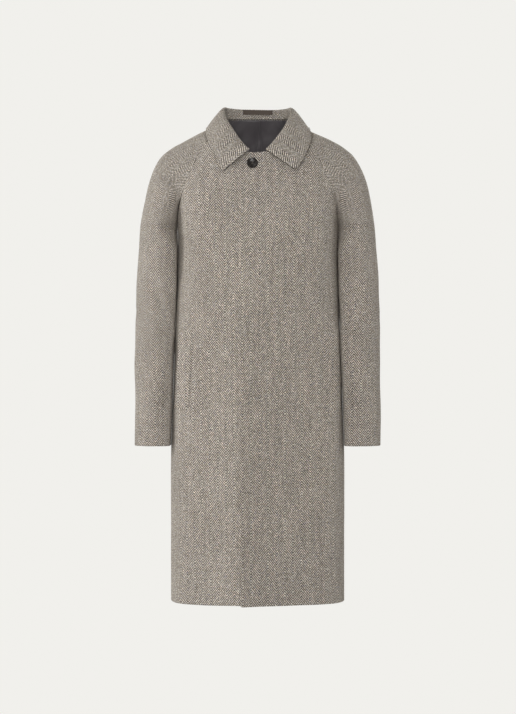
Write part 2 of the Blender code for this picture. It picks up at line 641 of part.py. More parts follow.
def sewing_holes(piece, collection):
    """Cuts the four holes with one hidden cutter."""
    cutter = bmesh.new()
    for corner in range(4):
        angle = math.radians(45 + 90 * corner)
        place = Matrix.Translation(
            (BUTTON_HOLE_OFFSET * math.cos(angle), BUTTON_HOLE_OFFSET * math.sin(angle), 0.002)
        )
        bmesh.ops.create_cone(cutter, cap_ends=True, segments=10, radius1=BUTTON_HOLE_RADIUS,
                              radius2=BUTTON_HOLE_RADIUS, depth=0.02, matrix=place)
    mesh = bpy.data.meshes.new("button_hole_cutter")
    cutter.to_mesh(mesh)
    cutter.free()
    holes = bpy.data.objects.new("button_hole_cutter", mesh)
    collection.objects.link(holes)
    holes.location = piece.location
    holes.rotation_euler = piece.rotation_euler
    holes.hide_render = True
    holes.display_type = "WIRE"
    cut = piece.modifiers.new("sewing_holes", "BOOLEAN")
    cut.operation = "DIFFERENCE"
    cut.object = holes


# ---------------------------------------------------------------- making objects
def cloth_material(name, colour, roughness):
    material = bpy.data.materials.new(name)
    material.use_nodes = True
    shader = material.node_tree.nodes["Principled BSDF"]
    shader.inputs["Base Color"].default_value = (*colour, 1.0)
    shader.inputs["Roughness"].default_value = roughness
    shader.inputs["Metallic"].default_value = 0.0
    return material


def shares(marks, counts):
    """Even shares between each mark and the next."""
    runs = [np.linspace(low, high, count + 1)[1:]
            for low, high, count in zip(marks, marks[1:], counts)]
    return np.concatenate([[marks[0]], *runs])


def seam_step(surface, v, seam_u, gap):
    """How far u has to move off the seam at seam_u to lie a gap away from it, in metres."""
    step = 0.01
    inner_u = abs(seam_u - step)
    seam = np.full_like(v, seam_u)
    row = surface(np.full_like(v, inner_u), v) - surface(seam, v)
    low_v = np.clip(v - step, 0, 1)
    high_v = np.clip(v + step, 0, 1)
    along = unit(surface(seam, high_v) - surface(seam, low_v))
    square = np.linalg.norm(np.cross(row, along), axis=-1)
    least = LEAST_SLANT * np.linalg.norm(row, axis=-1)
    return gap * step / np.maximum(square, least)


def off_seams(surface, low, high):
    """The surface drawn back from its seams: by low at u = 0 and by high at u = 1, in metres."""
    def drawn_back(u, v):
        start = seam_step(surface, v, 0.0, low)
        end = 1 - seam_step(surface, v, 1.0, high)
        return surface(start + u * (end - start), v)
    return drawn_back


def surface_normal(surface, u, v):
    step = 0.002
    u = np.clip(u, step, 1 - step)
    v = np.clip(v, step, 1 - step)
    across = surface(u + step, v) - surface(u - step, v)
    along = surface(u, v + step) - surface(u, v - step)
    return unit(np.cross(across, along))


def panel(name, surface, columns, rows, thickness, material, outward, collection):
    """A wall of cloth: its outer face lies on surface(u, v) and its inner face a thickness
    behind. outward is 1 where u crossed with v faces out of the cloth, and -1 where it faces in."""
    u, v = np.meshgrid(columns, rows)
    outer = surface(u, v)
    inner = outer - surface_normal(surface, u, v) * outward * thickness
    points = np.concatenate([outer.reshape(-1, 3), inner.reshape(-1, 3)])
    index = np.arange(u.size).reshape(u.shape)
    front = np.stack([index[:-1, :-1], index[:-1, 1:], index[1:, 1:], index[1:, :-1]], axis=-1)
    front = front.reshape(-1, 4)
    border = np.concatenate([index[0, :-1], index[:-1, -1], index[-1, :0:-1], index[:0:-1, 0]])
    ahead = np.roll(border, -1)
    rim = np.stack([ahead, border, border + u.size, ahead + u.size], axis=-1)
    turned_over = [0, 3, 2, 1]  # keeps the same diagonal, so the wall's two faces stay parallel
    faces = np.concatenate([front, front[:, turned_over] + u.size, rim])
    if outward < 0:
        faces = faces[:, turned_over]
    mesh = bpy.data.meshes.new(name)
    mesh.from_pydata(points.tolist(), [], faces.tolist())
    mesh.shade_smooth()
    mesh.set_sharp_from_angle(angle=SHARP_ANGLE)
    mesh.materials.append(material)
    piece = bpy.data.objects.new(name, mesh)
    collection.objects.link(piece)
    return piece


def main():
    for thing in list(bpy.data.objects):
        bpy.data.objects.remove(thing)
    collection = bpy.data.collections.new("overcoat")
    bpy.context.scene.collection.children.link(collection)
    cutters = bpy.data.collections.new("cutters")
    bpy.context.scene.collection.children.link(cutters)
    wool = cloth_material("herringbone_wool", *WOOL_LOOK)
    lining = cloth_material("dark_lining", *LINING_LOOK)
    label = cloth_material("brown_label", *LABEL_LOOK)
    horn = cloth_material("dark_button", *BUTTON_LOOK)

    body_rows = shares((0.0, BODY_ARMPIT, 1.0), BODY_ROW_COUNTS)
    front_columns = shares((0.0, LAP_SHARE, 1.0), FRONT_COLUMN_COUNTS)
    sleeve_rows = shares((0.0, SLEEVE_ARMPIT, 1.0), SLEEVE_ROW_COUNTS)
    half = SEAM_GAP / 2 + FACET_ALLOWANCE
    for side, mirror in (("left", 1), ("right", -1)):
        def front_face(u, v, mirror=mirror):
            return front_surface(u, v, mirror > 0, mirror)

        def welt_face(u, v, mirror=mirror):
            return welt_surface(u, v, mirror)

        panel("front_" + side, off_seams(front_face, 0.0, half), front_columns, body_rows, CLOTH,
              wool, mirror, collection)
        panel("pocket_welt_" + side, welt_face, shares((0.0, 1.0), WELT_COLUMN_COUNTS),
              shares((0.0, 1.0), WELT_ROW_COUNTS), WELT_CLOTH, wool, mirror, collection)
        for part, facing in (("front", -1), ("back", 1)):
            def sleeve_face(u, v, on_front=facing < 0, mirror=mirror):
                return sleeve_surface(u, v, on_front, mirror)

            panel("sleeve_" + side + "_" + part, off_seams(sleeve_face, half, half),
                  shares((0.0, 1.0), SLEEVE_COLUMN_COUNTS), sleeve_rows, CLOTH, wool,
                  facing * mirror, collection)
    panel("back", off_seams(back_surface, half, half), shares((0.0, 1.0), BACK_COLUMN_COUNTS),
          body_rows, CLOTH, wool, -1, collection)
    panel("collar", collar_surface, shares((0.0, 1.0), COLLAR_COLUMN_COUNTS),
          shares((0.0, 1.0), COLLAR_ROW_COUNTS), COLLAR_CLOTH, wool, 1, collection)
    panel("back_lining", lining_surface, shares((0.0, 1.0), LINING_COLUMN_COUNTS),
          shares((0.0, 1.0), LINING_ROW_COUNTS), LINING, lining, 1, collection)
    panel("neck_label", label_surface, shares((0.0, 1.0), LABEL_COLUMN_COUNTS),
          shares((0.0, 1.0), LABEL_ROW_COUNTS), LABEL_CLOTH, label, 1, collection)
    sewing_holes(button(horn, collection), cutters)


main()
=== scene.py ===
"""Looks of the wool overcoat: each CAD piece is replaced by a fine shell on the same curves, with
rounded and stitched edges, sunk seams, soft folds and procedural herringbone tweed.
Lengths are metres, +Z is up, the front faces -Y and the wearer's left is +X."""

import math

import bmesh
import bpy
import numpy as np
from mathutils import Matrix, Vector


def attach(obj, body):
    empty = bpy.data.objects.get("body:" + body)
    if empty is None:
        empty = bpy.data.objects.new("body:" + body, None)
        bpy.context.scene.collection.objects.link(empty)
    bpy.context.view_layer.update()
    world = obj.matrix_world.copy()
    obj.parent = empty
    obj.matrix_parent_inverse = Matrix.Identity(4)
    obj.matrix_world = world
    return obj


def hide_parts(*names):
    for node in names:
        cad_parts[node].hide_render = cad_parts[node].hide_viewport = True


# ---------------------------------------------------------------- driving sizes
CLOTH = 0.0022          # wall of one panel
COLLAR_CLOTH = 0.0026   # collar pieces are interlined
LINING = 0.0010
HEM_Z = -1.080
ARMPIT_Z = -0.225
CUFF_Z = -0.7245
FRONT_EDGE_X = 0.039    # how far each front passes the middle
LAP_SHARE = 0.25        # share of a front's width that lies in the lap
FLY_LIFT = 0.0030       # the lapped front stands this far off the other one
FLY_LIFT_ENDS = (0.045, 0.105)  # it comes back down between these x
UNDER_HEM_RISE = 0.0030  # the front underneath is this much shorter along the lap

# Body sections, front and back: the cloth's outer face at each height.
# side depth is what the panel heads for at full width; power 2 is round, 1 is a flat roof;
# ridge is how far the crown lies towards the wearer's right; corner squares the side.
BODY_COLUMNS = ("height", "half_width", "front_mid", "front_side", "front_power", "ridge",
                "back_mid", "back_side", "corner")
BODY_SECTIONS = (
    (-1.080, 0.1990, 0.1370, 0.0760, 1.10, 0.039, 0.1620, 0.1120, 12.0),
    (-0.900, 0.1990, 0.1340, 0.0800, 1.15, 0.039, 0.1560, 0.1120, 11.0),
    (-0.740, 0.1990, 0.1310, 0.0850, 1.20, 0.039, 0.1490, 0.1120, 10.0),
    (-0.620, 0.1945, 0.1290, 0.0890, 1.30, 0.039, 0.1430, 0.1120, 9.0),
    (-0.480, 0.1900, 0.1280, 0.0940, 1.50, 0.034, 0.1380, 0.1130, 8.0),
    (-0.350, 0.1850, 0.1300, 0.1030, 1.80, 0.018, 0.1390, 0.1180, 7.5),
    (-0.225, 0.1840, 0.1300, 0.1180, 2.00, 0.000, 0.1380, 0.1280, 7.0),
    (-0.178, 0.1880, 0.1270, 0.1180, 2.00, 0.000, 0.1345, 0.1225, 7.0),
    (-0.118, 0.1980, 0.1195, 0.0880, 2.00, 0.000, 0.1265, 0.0990, 7.0),
    (-0.074, 0.2030, 0.1110, 0.0430, 2.00, 0.000, 0.1155, 0.0720, 7.0),
    (-0.028, 0.2070, 0.0980, -0.0460, 2.00, 0.000, 0.0990, -0.0020, 7.0),
    (0.004, 0.2090, 0.0820, -0.1900, 2.00, 0.000, 0.0850, -0.0500, 7.0),
    (0.034, 0.2100, 0.0680, -0.3000, 2.00, 0.000, 0.0690, -0.0900, 7.0),
)

# Largest folds. Each runs from a top to a foot, at an x and a height, and stands out (or, below
# nothing, sinks in) by its depth; width is its half width where it has died away to a third.
# Columns: top x and z, foot x and z, width, depth.
FRONT_FOLDS = (
    (-0.047, -0.300, -0.043, -1.500, 0.030, 0.0062),
    (-0.166, -0.190, -0.104, -0.315, 0.017, -0.0022),
    (-0.098, -0.420, -0.112, -0.700, 0.020, -0.0036),
    (-0.071, -0.640, -0.066, -1.300, 0.027, 0.0026),
    (0.162, -0.205, 0.112, -0.335, 0.017, -0.0020),
    (0.074, -0.470, 0.084, -0.880, 0.024, -0.0022),
    (0.116, -0.600, 0.130, -1.300, 0.030, 0.0034),
)
BACK_FOLDS = (
    (-0.104, -0.150, -0.126, -0.450, 0.021, -0.0044),
    (0.100, -0.135, 0.118, -0.480, 0.023, -0.0050),
    (-0.082, -0.480, -0.101, -1.300, 0.034, 0.0080),
    (0.006, -0.560, -0.004, -1.300, 0.036, -0.0070),
    (0.090, -0.440, 0.106, -1.300, 0.033, 0.0074),
)
# Sleeve folds: side (1 is the wearer's left), 1 on the front panel or 0 on the back one, then
# top and foot in shares of the panel's width and length, and width and depth.
SLEEVE_FOLDS = (
    (-1, 1, 0.62, 0.46, 0.16, 0.66, 0.013, -0.0046),
    (-1, 1, 0.70, 0.60, 0.30, 0.74, 0.012, -0.0016),
    (1, 1, 0.30, 0.47, 0.72, 0.61, 0.013, -0.0034),
    (1, 1, 0.28, 0.60, 0.66, 0.72, 0.012, -0.0018),
    (-1, 0, 0.24, 0.52, 0.74, 0.63, 0.014, -0.0034),
    (-1, 0, 0.30, 0.62, 0.76, 0.68, 0.012, -0.0026),
    (1, 0, 0.70, 0.50, 0.24, 0.62, 0.014, -0.0036),
    (1, 0, 0.76, 0.60, 0.30, 0.68, 0.012, -0.0024),
)
SLEEVE_FOLD_SIZE = (0.15, 0.86)   # a sleeve panel's width and length, to measure its folds in
FOLD_END = 0.35         # share of a fold's length over which it dies away at each end

# Raglan seams: how far out each seam lies at a height.
FRONT_RAGLAN = (
    (-0.2250, 0.1840),
    (-0.2000, 0.1822),
    (-0.1780, 0.1788),
    (-0.1580, 0.1730),
    (-0.1175, 0.1593),
    (-0.0735, 0.1393),
    (-0.0283, 0.1126),
    (0.0040, 0.0740),
)
BACK_RAGLAN = (
    (-0.2250, 0.1840),
    (-0.1700, 0.1770),
    (-0.1200, 0.1590),
    (-0.0700, 0.1330),
    (-0.0200, 0.0990),
    (0.0300, 0.0620),
)

# Neck edge: its height at each distance from the middle.
FRONT_NECK = (
    (-0.0450, -0.0635),
    (0.0000, -0.0625),
    (0.0180, -0.0605),
    (0.0380, -0.0490),
    (0.0570, -0.0260),
    (0.0740, 0.0040),
)
BACK_NECK = (
    (0.0000, 0.0320),
    (0.0300, 0.0318),
    (0.0620, 0.0300),
)
NECK_EASE = 0.86        # from this share of a body panel's length its rows bend to the neck edge
NECK_SHARES = (0.26, 0.55)  # of the neck seam from the middle of the back: back, then shoulder

# Where the rows of fronts, back and sleeves meet on the raglan seams: heights at each share of
# the way from the armpit to the neck.
RAGLAN_RISE = (
    (0.00, -0.2250, -0.2250),
    (0.12, -0.2060, -0.2070),
    (0.24, -0.1820, -0.1840),
    (0.35, -0.1550, -0.1560),
    (0.44, -0.1310, -0.1320),
    (0.55, -0.1010, -0.1000),
    (0.68, -0.0670, -0.0640),
    (0.81, -0.0330, -0.0225),
    (1.00, 0.0040, 0.0300),
)
BODY_ARMPIT = 0.60      # share of a body panel's rows below the armpit
SLEEVE_ARMPIT = 0.375   # share of a sleeve's rows above the armpit
# Heights of the body's rows below the armpit.
BODY_ROWS = (
    (0.00, -1.080),
    (0.30, -0.620),
    (0.50, -0.325),
    (0.60, -0.225),
)

# Sleeve ribs, from the neck to the cuff. Each rib is an arc from a seam on the body side
# to the seam along the shoulder and the outside of the arm. arm_turn is 0 where the arc
# leaves along the chest and 1 where it leaves straight forward, as round an arm.
SLEEVE_COLUMNS = ("along", "over_x", "over_y", "over_z", "front_reach", "front_over_reach",
                  "back_reach", "back_over_reach", "arm_turn")
SLEEVE_RIBS = (
    (0.000, 0.0840, 0.004, 0.0175, 0.018, 0.018, 0.018, 0.018, 0.00),
    (0.070, 0.1320, 0.005, -0.0070, 0.024, 0.026, 0.026, 0.028, 0.00),
    (0.120, 0.1670, 0.006, -0.0240, 0.032, 0.036, 0.036, 0.038, 0.00),
    (0.170, 0.1990, 0.006, -0.0420, 0.038, 0.048, 0.041, 0.050, 0.10),
    (0.210, 0.2220, 0.006, -0.0620, 0.042, 0.060, 0.044, 0.062, 0.25),
    (0.245, 0.2380, 0.006, -0.0900, 0.044, 0.076, 0.046, 0.079, 0.45),
    (0.285, 0.2510, 0.006, -0.1260, 0.050, 0.091, 0.052, 0.095, 0.70),
    (0.330, 0.2610, 0.005, -0.1700, 0.072, 0.104, 0.076, 0.109, 0.92),
    (0.375, 0.2690, 0.004, -0.2200, 0.106, 0.111, 0.110, 0.116, 1.00),
    (0.440, 0.2740, 0.002, -0.2850, 0.112, 0.109, 0.115, 0.114, 1.00),
    (0.560, 0.2793, -0.004, -0.3800, 0.101, 0.099, 0.106, 0.104, 1.00),
    (0.700, 0.2807, -0.010, -0.4900, 0.091, 0.089, 0.096, 0.094, 1.00),
    (0.850, 0.2813, -0.014, -0.6100, 0.083, 0.081, 0.085, 0.084, 1.00),
    (1.000, 0.2818, -0.016, -0.7245, 0.077, 0.076, 0.077, 0.077, 1.00),
)
# The seam under the arm: its y at each height. It hangs this clear of the body's side.
UNDERARM = (
    (-0.7245, -0.014),
    (-0.6200, -0.012),
    (-0.4900, -0.009),
    (-0.3800, -0.004),
    (-0.2850, 0.000),
    (-0.2250, 0.000),
)
ARM_CLEAR = 0.0003
ARM_CLEAR_TOP = -0.185   # it closes up to the raglan seam from the armpit to this height
# Below the armpit the sleeve's inner side lies along the rounding of the body's side.
HUG_FOOT = -0.290        # fully so from this height down
HUG_FLATTEN = 0.4        # the greater, the flatter the inner side
HUG_MOST = 0.90          # of the side's depth, at most, in following it

# The collar from the middle of the back round to its front end: its place on the neck seam, its
# fold, and its outer edge.
# lean is the way the fold faces, in degrees from straight back towards the front; roll is how
# far the leaf stands out at the fold, and belly how full it is above its edge.
COLLAR_COLUMNS = ("along", "seam", "fold_x", "fold_y", "fold_z", "edge_x", "edge_y", "edge_z",
                  "lean", "roll", "belly")
COLLAR_RIBS = (
    (0.00, 0.000, 0.0000, 0.0750, 0.0560, 0.0000, 0.1000, -0.0120, 0.0, 0.014, 0.006),
    (0.14, 0.140, 0.0350, 0.0690, 0.0560, 0.0480, 0.0960, -0.0105, 24.0, 0.014, 0.006),
    (0.28, 0.275, 0.0650, 0.0500, 0.0560, 0.0920, 0.0750, -0.0045, 52.0, 0.013, 0.006),
    (0.42, 0.360, 0.0770, 0.0230, 0.0545, 0.1165, 0.0260, 0.0050, 82.0, 0.010, 0.003),
    (0.54, 0.450, 0.0768, -0.0110, 0.0395, 0.1190, -0.0190, -0.0010, 102.0, 0.011, 0.004),
    (0.66, 0.540, 0.0700, -0.0450, 0.0170, 0.1145, -0.0600, -0.0240, 120.0, 0.013, 0.008),
    (0.78, 0.650, 0.0550, -0.0770, -0.0105, 0.1025, -0.0905, -0.0525, 138.0, 0.014, 0.010),
    (0.89, 0.810, 0.0355, -0.1010, -0.0370, 0.0910, -0.1085, -0.0790, 152.0, 0.013, 0.009),
    (1.00, 1.000, 0.0180, -0.1160, -0.0560, 0.0790, -0.1185, -0.1020, 168.0, 0.008, 0.005),
)
LEFT_LEAF_SPREAD = 0.009   # the leaf on the wearer's left lies this much wider over the chest
LEFT_TIP_SPREAD = 0.0065   # and its tip this much
LEFT_LEAF_LIFT = 0.0040    # its edge stands this far off the chest
RIGHT_TIP_LIFT = 0.0030    # the other leaf stands off at its front end only
RIGHT_TIP_DROP = 0.0030    # and hangs lower there
LEAF_WIDENS = (0.42, 0.82)  # shares of the way round between which the left leaf does so
LEAF_TIP_FROM = 0.85
COLLAR_END_X = 0.018
STAND_INSET = 0.0035    # its face lies inside the neck seam by this, flush with the lining
STAND_LIFT = 0.0013
FOLD_HALF_WIDTH = 0.007
FOLD_AT = 1 / 3         # share of a rib at which the collar folds over
STAND_HANDLE = 0.5      # how much of the way to the fold the stand's curve heads straight up it
LEAF_HANDLE = 0.4

BUTTON_CENTRE = (-0.0115, -0.0884)   # x and z on the lapped front
BUTTON_SHANK = 0.0012                # thread between the front and the button's back
BUTTON_HOLE_RADIUS = 0.0010
BUTTON_HOLE_OFFSET = 0.0021
BUTTON_HOLE_SIDES = 10
BUTTON_HOLE_CUT = 0.020              # length of the hole's cutter, and its middle's height
BUTTON_HOLE_MIDDLE = 0.002
BUTTON_STEPS = 96
BUTTON_WELD = 0.00001
# The button's turned outline, from the middle of its face over the rim to the middle of its back.
BUTTON_PROFILE = (
    (0.0000, 0.0026),
    (0.0050, 0.0026),
    (0.0078, 0.0030),
    (0.0092, 0.0040),
    (0.0106, 0.0044),
    (0.0119, 0.0038),
    (0.0125, 0.0026),
    (0.0119, 0.0012),
    (0.0090, 0.0002),
    (0.0000, 0.0000),
)

WELT_TOP = (0.1440, -0.4680)         # forward edge of the pocket welt: x and z
WELT_FOOT = (0.1570, -0.6410)
WELT_TURN = 0.200                    # how far it runs back round the side
WELT_CLOTH = 0.0024
WELT_CLEAR = 0.0006
WELT_SPRING = 0.0024                 # its open edge stands this far off the front

LINING_FOOT = 0.50                   # share of the back's rows below the lining
LINING_SIDE = 0.05                   # and of its width beside it
LINING_CLEAR = 0.0026
PLEAT_X = 0.003
PLEAT_DEPTH = 0.0060
PLEAT_POWER = 1.5                    # the greater, the sharper
PLEAT_FRONT = 0.006
PLEAT_BEHIND = 0.030

LABEL_WIDTH = 0.069
LABEL_CLOTH = 0.0008
LABEL_CLEAR = 0.0009
LABEL_FOOT_V = 0.100
LABEL_TOP_V = 0.262
LEAST_SLANT = 0.2        # a row meeting a seam at less than this sine counts as this

# ---------------------------------------------------------------- sizes of the finish
SHELL_GAP = -0.00018     # below nought: a shell runs on past its seam, so no light comes through
SEAM_SINK = 0.0010       # how deep the cloth dips in at a seam
SEAM_SOFT = 0.0020       # this far from the seam the dip has died away to a third
# The dip may be shallower below the armpit; between these heights it grows to all its depth.
SEAM_FADE = (ARMPIT_Z - 0.03, ARMPIT_Z + 0.07)
ARM_ROUND = 0.0030       # the sleeve's inner side turns in by this, this far from its seam
ARM_ROUND_AT = 0.012
SIDE_CALM = 0.022        # the cloth is even this near the side seam and the seam under the arm,
CALM_FADE = (ARMPIT_Z - 0.03, ARMPIT_Z + 0.02)  # and between these heights no longer so
EDGE_TAPER = 0.004       # a thicker edge thins out to the wall's own thickness over this
EDGE_ROUND = 0.95        # share of an edge's half thickness that is rounded off
LEAST_WALL = 0.0002
GROOVE_DEPTH = 0.0007    # the groove that a row of stitches draws in
GROOVE_SOFT = 0.0011
GROOVE_FADE = 0.02       # height over which it starts
LEAF_SINK_SOFT = 0.0029
LEAF_LINE = 260          # points along each edge of the collar
LEAF_END_FROM = 0.4      # share of a rib from which the leaf's end presses on the front
LEAF_BOX = ((-0.13, -0.13), (0.13, 0.05))  # least and most x and z that the leaves lie over
# How far the cloth sinks in under the collar's edges: along the leaf's edge or its end, on this
# side (-1 is the wearer's right), and the depth.
LEAF_SINKS = (
    ("edge", -1, 0.0012),
    ("edge", 1, 0.0050),
    ("end", -1, 0.0055),
    ("end", 1, 0.0026),
)
# Rows of points this far in from an edge or a seam, and to both sides of a row of stitches.
SIDE_OFFSETS = {
    "edge": (0.0, 0.00008, 0.0003, 0.0007, 0.0012, 0.0018, 0.0028, 0.0042),
    "seam": (0.0, 0.0006, 0.0013, 0.0022, 0.0034, 0.0050),
}
MARK_OFFSETS = (-0.0030, -0.0018, -0.0011, -0.0005, 0.0, 0.0005, 0.0011, 0.0018, 0.0030)
NORMAL_STEP = 0.002      # share of a surface over which its normal is measured
# The cloth's slow unevenness: crossed waves, each with its radians a metre in x, y and z, its
# shift and its size.
UNEVEN = 0.0006
UNEVEN_WAVES = (
    (41.0, 17.0, 23.0, 0.4, 0.8),
    (-27.0, 31.0, 37.0, 1.9, 0.7),
    (63.0, -22.0, -19.0, 3.3, 0.5),
    (12.0, 48.0, -58.0, 5.1, 0.5),
    (88.0, 35.0, 71.0, 2.2, 0.25),
)
# Soft creases: what the names of their pieces start with, where each starts and ends, its half
# width and how far it stands out or sinks in.
CREASES = (
    ("", (-0.246, -0.070, -0.325), (-0.203, -0.085, -0.450), 0.011, -0.0062),
    ("", (-0.258, -0.060, -0.352), (-0.220, -0.085, -0.470), 0.011, 0.0034),
    ("", (0.252, -0.070, -0.200), (0.202, -0.095, -0.262), 0.012, -0.0026),
    ("", (-0.256, -0.060, -0.455), (-0.208, -0.080, -0.520), 0.010, -0.0020),
    ("", (-0.262, -0.050, -0.560), (-0.214, -0.075, -0.610), 0.012, -0.0014),
    ("", (0.214, -0.080, -0.345), (0.256, -0.070, -0.430), 0.011, -0.0024),
    ("", (0.208, -0.080, -0.470), (0.254, -0.065, -0.520), 0.010, -0.0018),
    ("", (0.212, -0.075, -0.590), (0.262, -0.055, -0.630), 0.012, -0.0014),
    ("", (-0.176, -0.050, -0.235), (-0.130, -0.120, -0.330), 0.012, -0.0024),
    ("", (-0.170, -0.060, -0.275), (-0.126, -0.120, -0.390), 0.011, 0.0016),
    ("", (0.176, -0.050, -0.240), (0.136, -0.115, -0.350), 0.012, -0.0022),
    ("", (-0.108, -0.125, -0.440), (-0.114, -0.120, -0.690), 0.014, -0.0024),
    ("", (-0.130, -0.115, -0.560), (-0.122, -0.120, -0.860), 0.016, 0.0014),
    ("", (0.060, -0.130, -0.300), (0.050, -0.130, -0.560), 0.016, -0.0012),
    ("", (0.095, -0.120, -0.620), (0.100, -0.115, -1.050), 0.018, -0.0020),
    ("", (0.040, -0.130, -0.700), (0.034, -0.130, -1.080), 0.020, 0.0014),
    ("", (-0.160, 0.090, -0.210), (-0.110, 0.125, -0.330), 0.013, -0.0030),
    ("", (0.158, 0.090, -0.215), (0.106, 0.125, -0.350), 0.013, -0.0028),
    ("", (-0.130, 0.120, -0.330), (-0.096, 0.135, -0.470), 0.014, -0.0018),
    ("", (-0.215, 0.070, -0.370), (-0.262, 0.050, -0.440), 0.011, -0.0026),
    ("", (0.214, 0.070, -0.380), (0.260, 0.050, -0.460), 0.011, -0.0028),
    ("", (-0.212, 0.065, -0.455), (-0.258, 0.045, -0.500), 0.010, -0.0020),
    ("", (0.210, 0.065, -0.470), (0.262, 0.040, -0.520), 0.011, -0.0018),
    ("", (-0.278, -0.030, -0.400), (-0.270, 0.040, -0.470), 0.012, -0.0016),
    ("", (0.278, -0.030, -0.420), (0.270, 0.040, -0.480), 0.012, -0.0016),
    ("front_right", (-0.171, -0.060, -0.300), (-0.176, -0.058, -0.800), 0.022, 0.0042),
    ("front_left", (0.171, -0.060, -0.300), (0.176, -0.058, -0.800), 0.022, 0.0042),
    ("sleeve_right_front", (-0.200, -0.064, -0.300), (-0.208, -0.062, -0.860), 0.022, -0.0070),
    ("sleeve_left_front", (0.199, -0.062, -0.300), (0.206, -0.060, -0.800), 0.016, -0.0044),
    ("front", (-0.014, -0.110, -0.0500), (0.022, -0.110, -0.0500), 0.0040, 0.0014),
    ("back_lining", (0.0050, 0.078, 0.030), (0.0080, 0.105, -0.120), 0.0055, 0.0042),
    ("back_lining", (-0.0070, 0.078, 0.030), (-0.0110, 0.105, -0.120), 0.0070, -0.0038),
    ("back_lining", (-0.0300, 0.075, 0.005), (-0.0220, 0.105, -0.080), 0.0090, 0.0016),
    ("back_lining", (0.0300, 0.075, 0.005), (0.0240, 0.105, -0.080), 0.0090, -0.0012),
)
CREASE_ENDS = (-0.1, 0.4)  # shares of a crease's length over which it dies away at each end
STITCH_PITCH = 0.0042
STITCH_LENGTH = 0.0030
STITCH_HALF_WIDTH = 0.00042
STITCH_LIFT = -0.0004    # below nought: it lies in the groove
STITCH_SIDES = 6
# Rings of one stitch: share of its length, share of its half width, and rise in half widths.
STITCH_RINGS = (
    (0.0, 0.45, -0.5),
    (0.2, 0.9, 0.1),
    (0.5, 1.0, 0.3),
    (0.8, 0.9, 0.1),
    (1.0, 0.45, -0.5),
)
FLY_STITCH = 0.071       # the fly's row runs this far from the edge
FLY_STITCH_FOOT = -0.60
# The row's first and last share of the panel, and how many points it is measured by.
FLY_STITCH_PATH = (0.50, 0.985, 240)
COLLAR_STITCH = 0.006    # the collar's row runs this far from its edge
COLLAR_STITCH_FOOT = -1.0    # lower than any of it
COLLAR_STITCH_PATH = (0.012, 0.988, 400)

# Shells: width and length on which the steps are measured, and the steps across and along.
FRONT_GRID = ((0.318, 1.09), (0.0065, 0.0075))
BACK_GRID = ((0.50, 1.12), (0.0075, 0.0075))
SLEEVE_GRID = ((0.165, 0.87), (0.0055, 0.0065))
COLLAR_GRID = ((0.60, 0.16), (0.0045, 0.0032))
LINING_GRID = ((0.36, 0.36), (0.006, 0.006))
LABEL_GRID = ((0.069, 0.014), (0.003, 0.0015))
WELT_GRID = ((0.050, 0.176), (0.004, 0.005))
# Closer rows under the collar: first and last share of the length, and how many. The lining's
# closer columns are in metres from the middle of its pleat.
FRONT_CLOSE_ROWS = (0.90, 0.995, 64)
SLEEVE_CLOSE_ROWS = (0.006, 0.16, 84)
PLEAT_CLOSE_COLUMNS = (-0.03, 0.01, 21)
# Rounded corners: their width and height in shares of the panel's.
FRONT_TOP_CORNER = (0.008 / 0.31, 0.010 / 1.04)
FRONT_FOOT_CORNER = (0.005 / 0.31, 0.005 / 1.04)
LEFT_COLLAR_CORNER = (0.011 / 0.60, 0.011 / 0.115 * (1 - FOLD_AT))
RIGHT_COLLAR_CORNER = (0.003 / 0.60, 0.003 / 0.115 * (1 - FOLD_AT))
# Sides of a shell: its first and last column, then its first and last row. A seam gives how much
# of its dip shows below the armpit, an edge its thickness and how deep the cloth is turned in,
# and a flush side how deep it is sunk and how far in it has risen again.
SIDES = ("u0", "u1", "v0", "v1")
WHOLE_SEAM = ("seam", 1.0)
SIDE_SEAM = ("seam", 0.25)
UNDERARM_SEAM = ("seam", 0.0)
THIN_EDGE = ("edge", 0.0026, 0.004)
COLLAR_END = ("edge", 0.0032, 0.004)
COLLAR_EDGE = ("edge", 0.0032, 0.006)
BACK_HEM = ("edge", 0.0040, 0.040)
CUFF_EDGE = ("edge", 0.0040, 0.045)
FRONT_TURNED = 0.075     # how deep the cloth is turned in along a front's edge
FRONT_HEM = 0.040        # and along its hem
LEFT_FRONT_EDGE = 0.0028
RIGHT_FRONT_EDGE = 0.0036
LINING_TURNED = 0.002
WELT_FLUSH = 0.0016
WELT_RISE = 0.009        # the welt's sewn side has risen again this far in
WELT_END_RISE = 0.004
WELT_STRIPES = 1.06      # its stripes are this much closer, as it lies aslant

BUTTON_BEVEL = 0.00015
BUTTON_SHARP = 40.0      # degrees between faces from which an edge of the button is sharp
# The button's sewing: bars of thread between the holes, and the shank below.
BAR_THREADS = (-0.00035, 0.0, 0.00035)
BAR_THREAD_RADIUS = 0.00019
BAR_THREAD_SIDES = 8
BAR_RINGS = 9
BAR_OVERHANG = 0.0002    # a bar runs this far past the holes' middles
BAR_HEIGHT = 0.0030
BAR_BOW = 0.0006
BAR_SINKS_FROM = 0.82    # share of half its length from which it goes down into the hole
SHANK_RADII = (0.0024, 0.0020)
SHANK_LENGTH = 0.0022
SHANK_MIDDLE = -0.0008
THREAD_DARK = (0.10, 0.085, 0.07, 1)
THREAD_LIGHT = (0.26, 0.22, 0.18, 1)
THREAD_ROUGH = 0.8

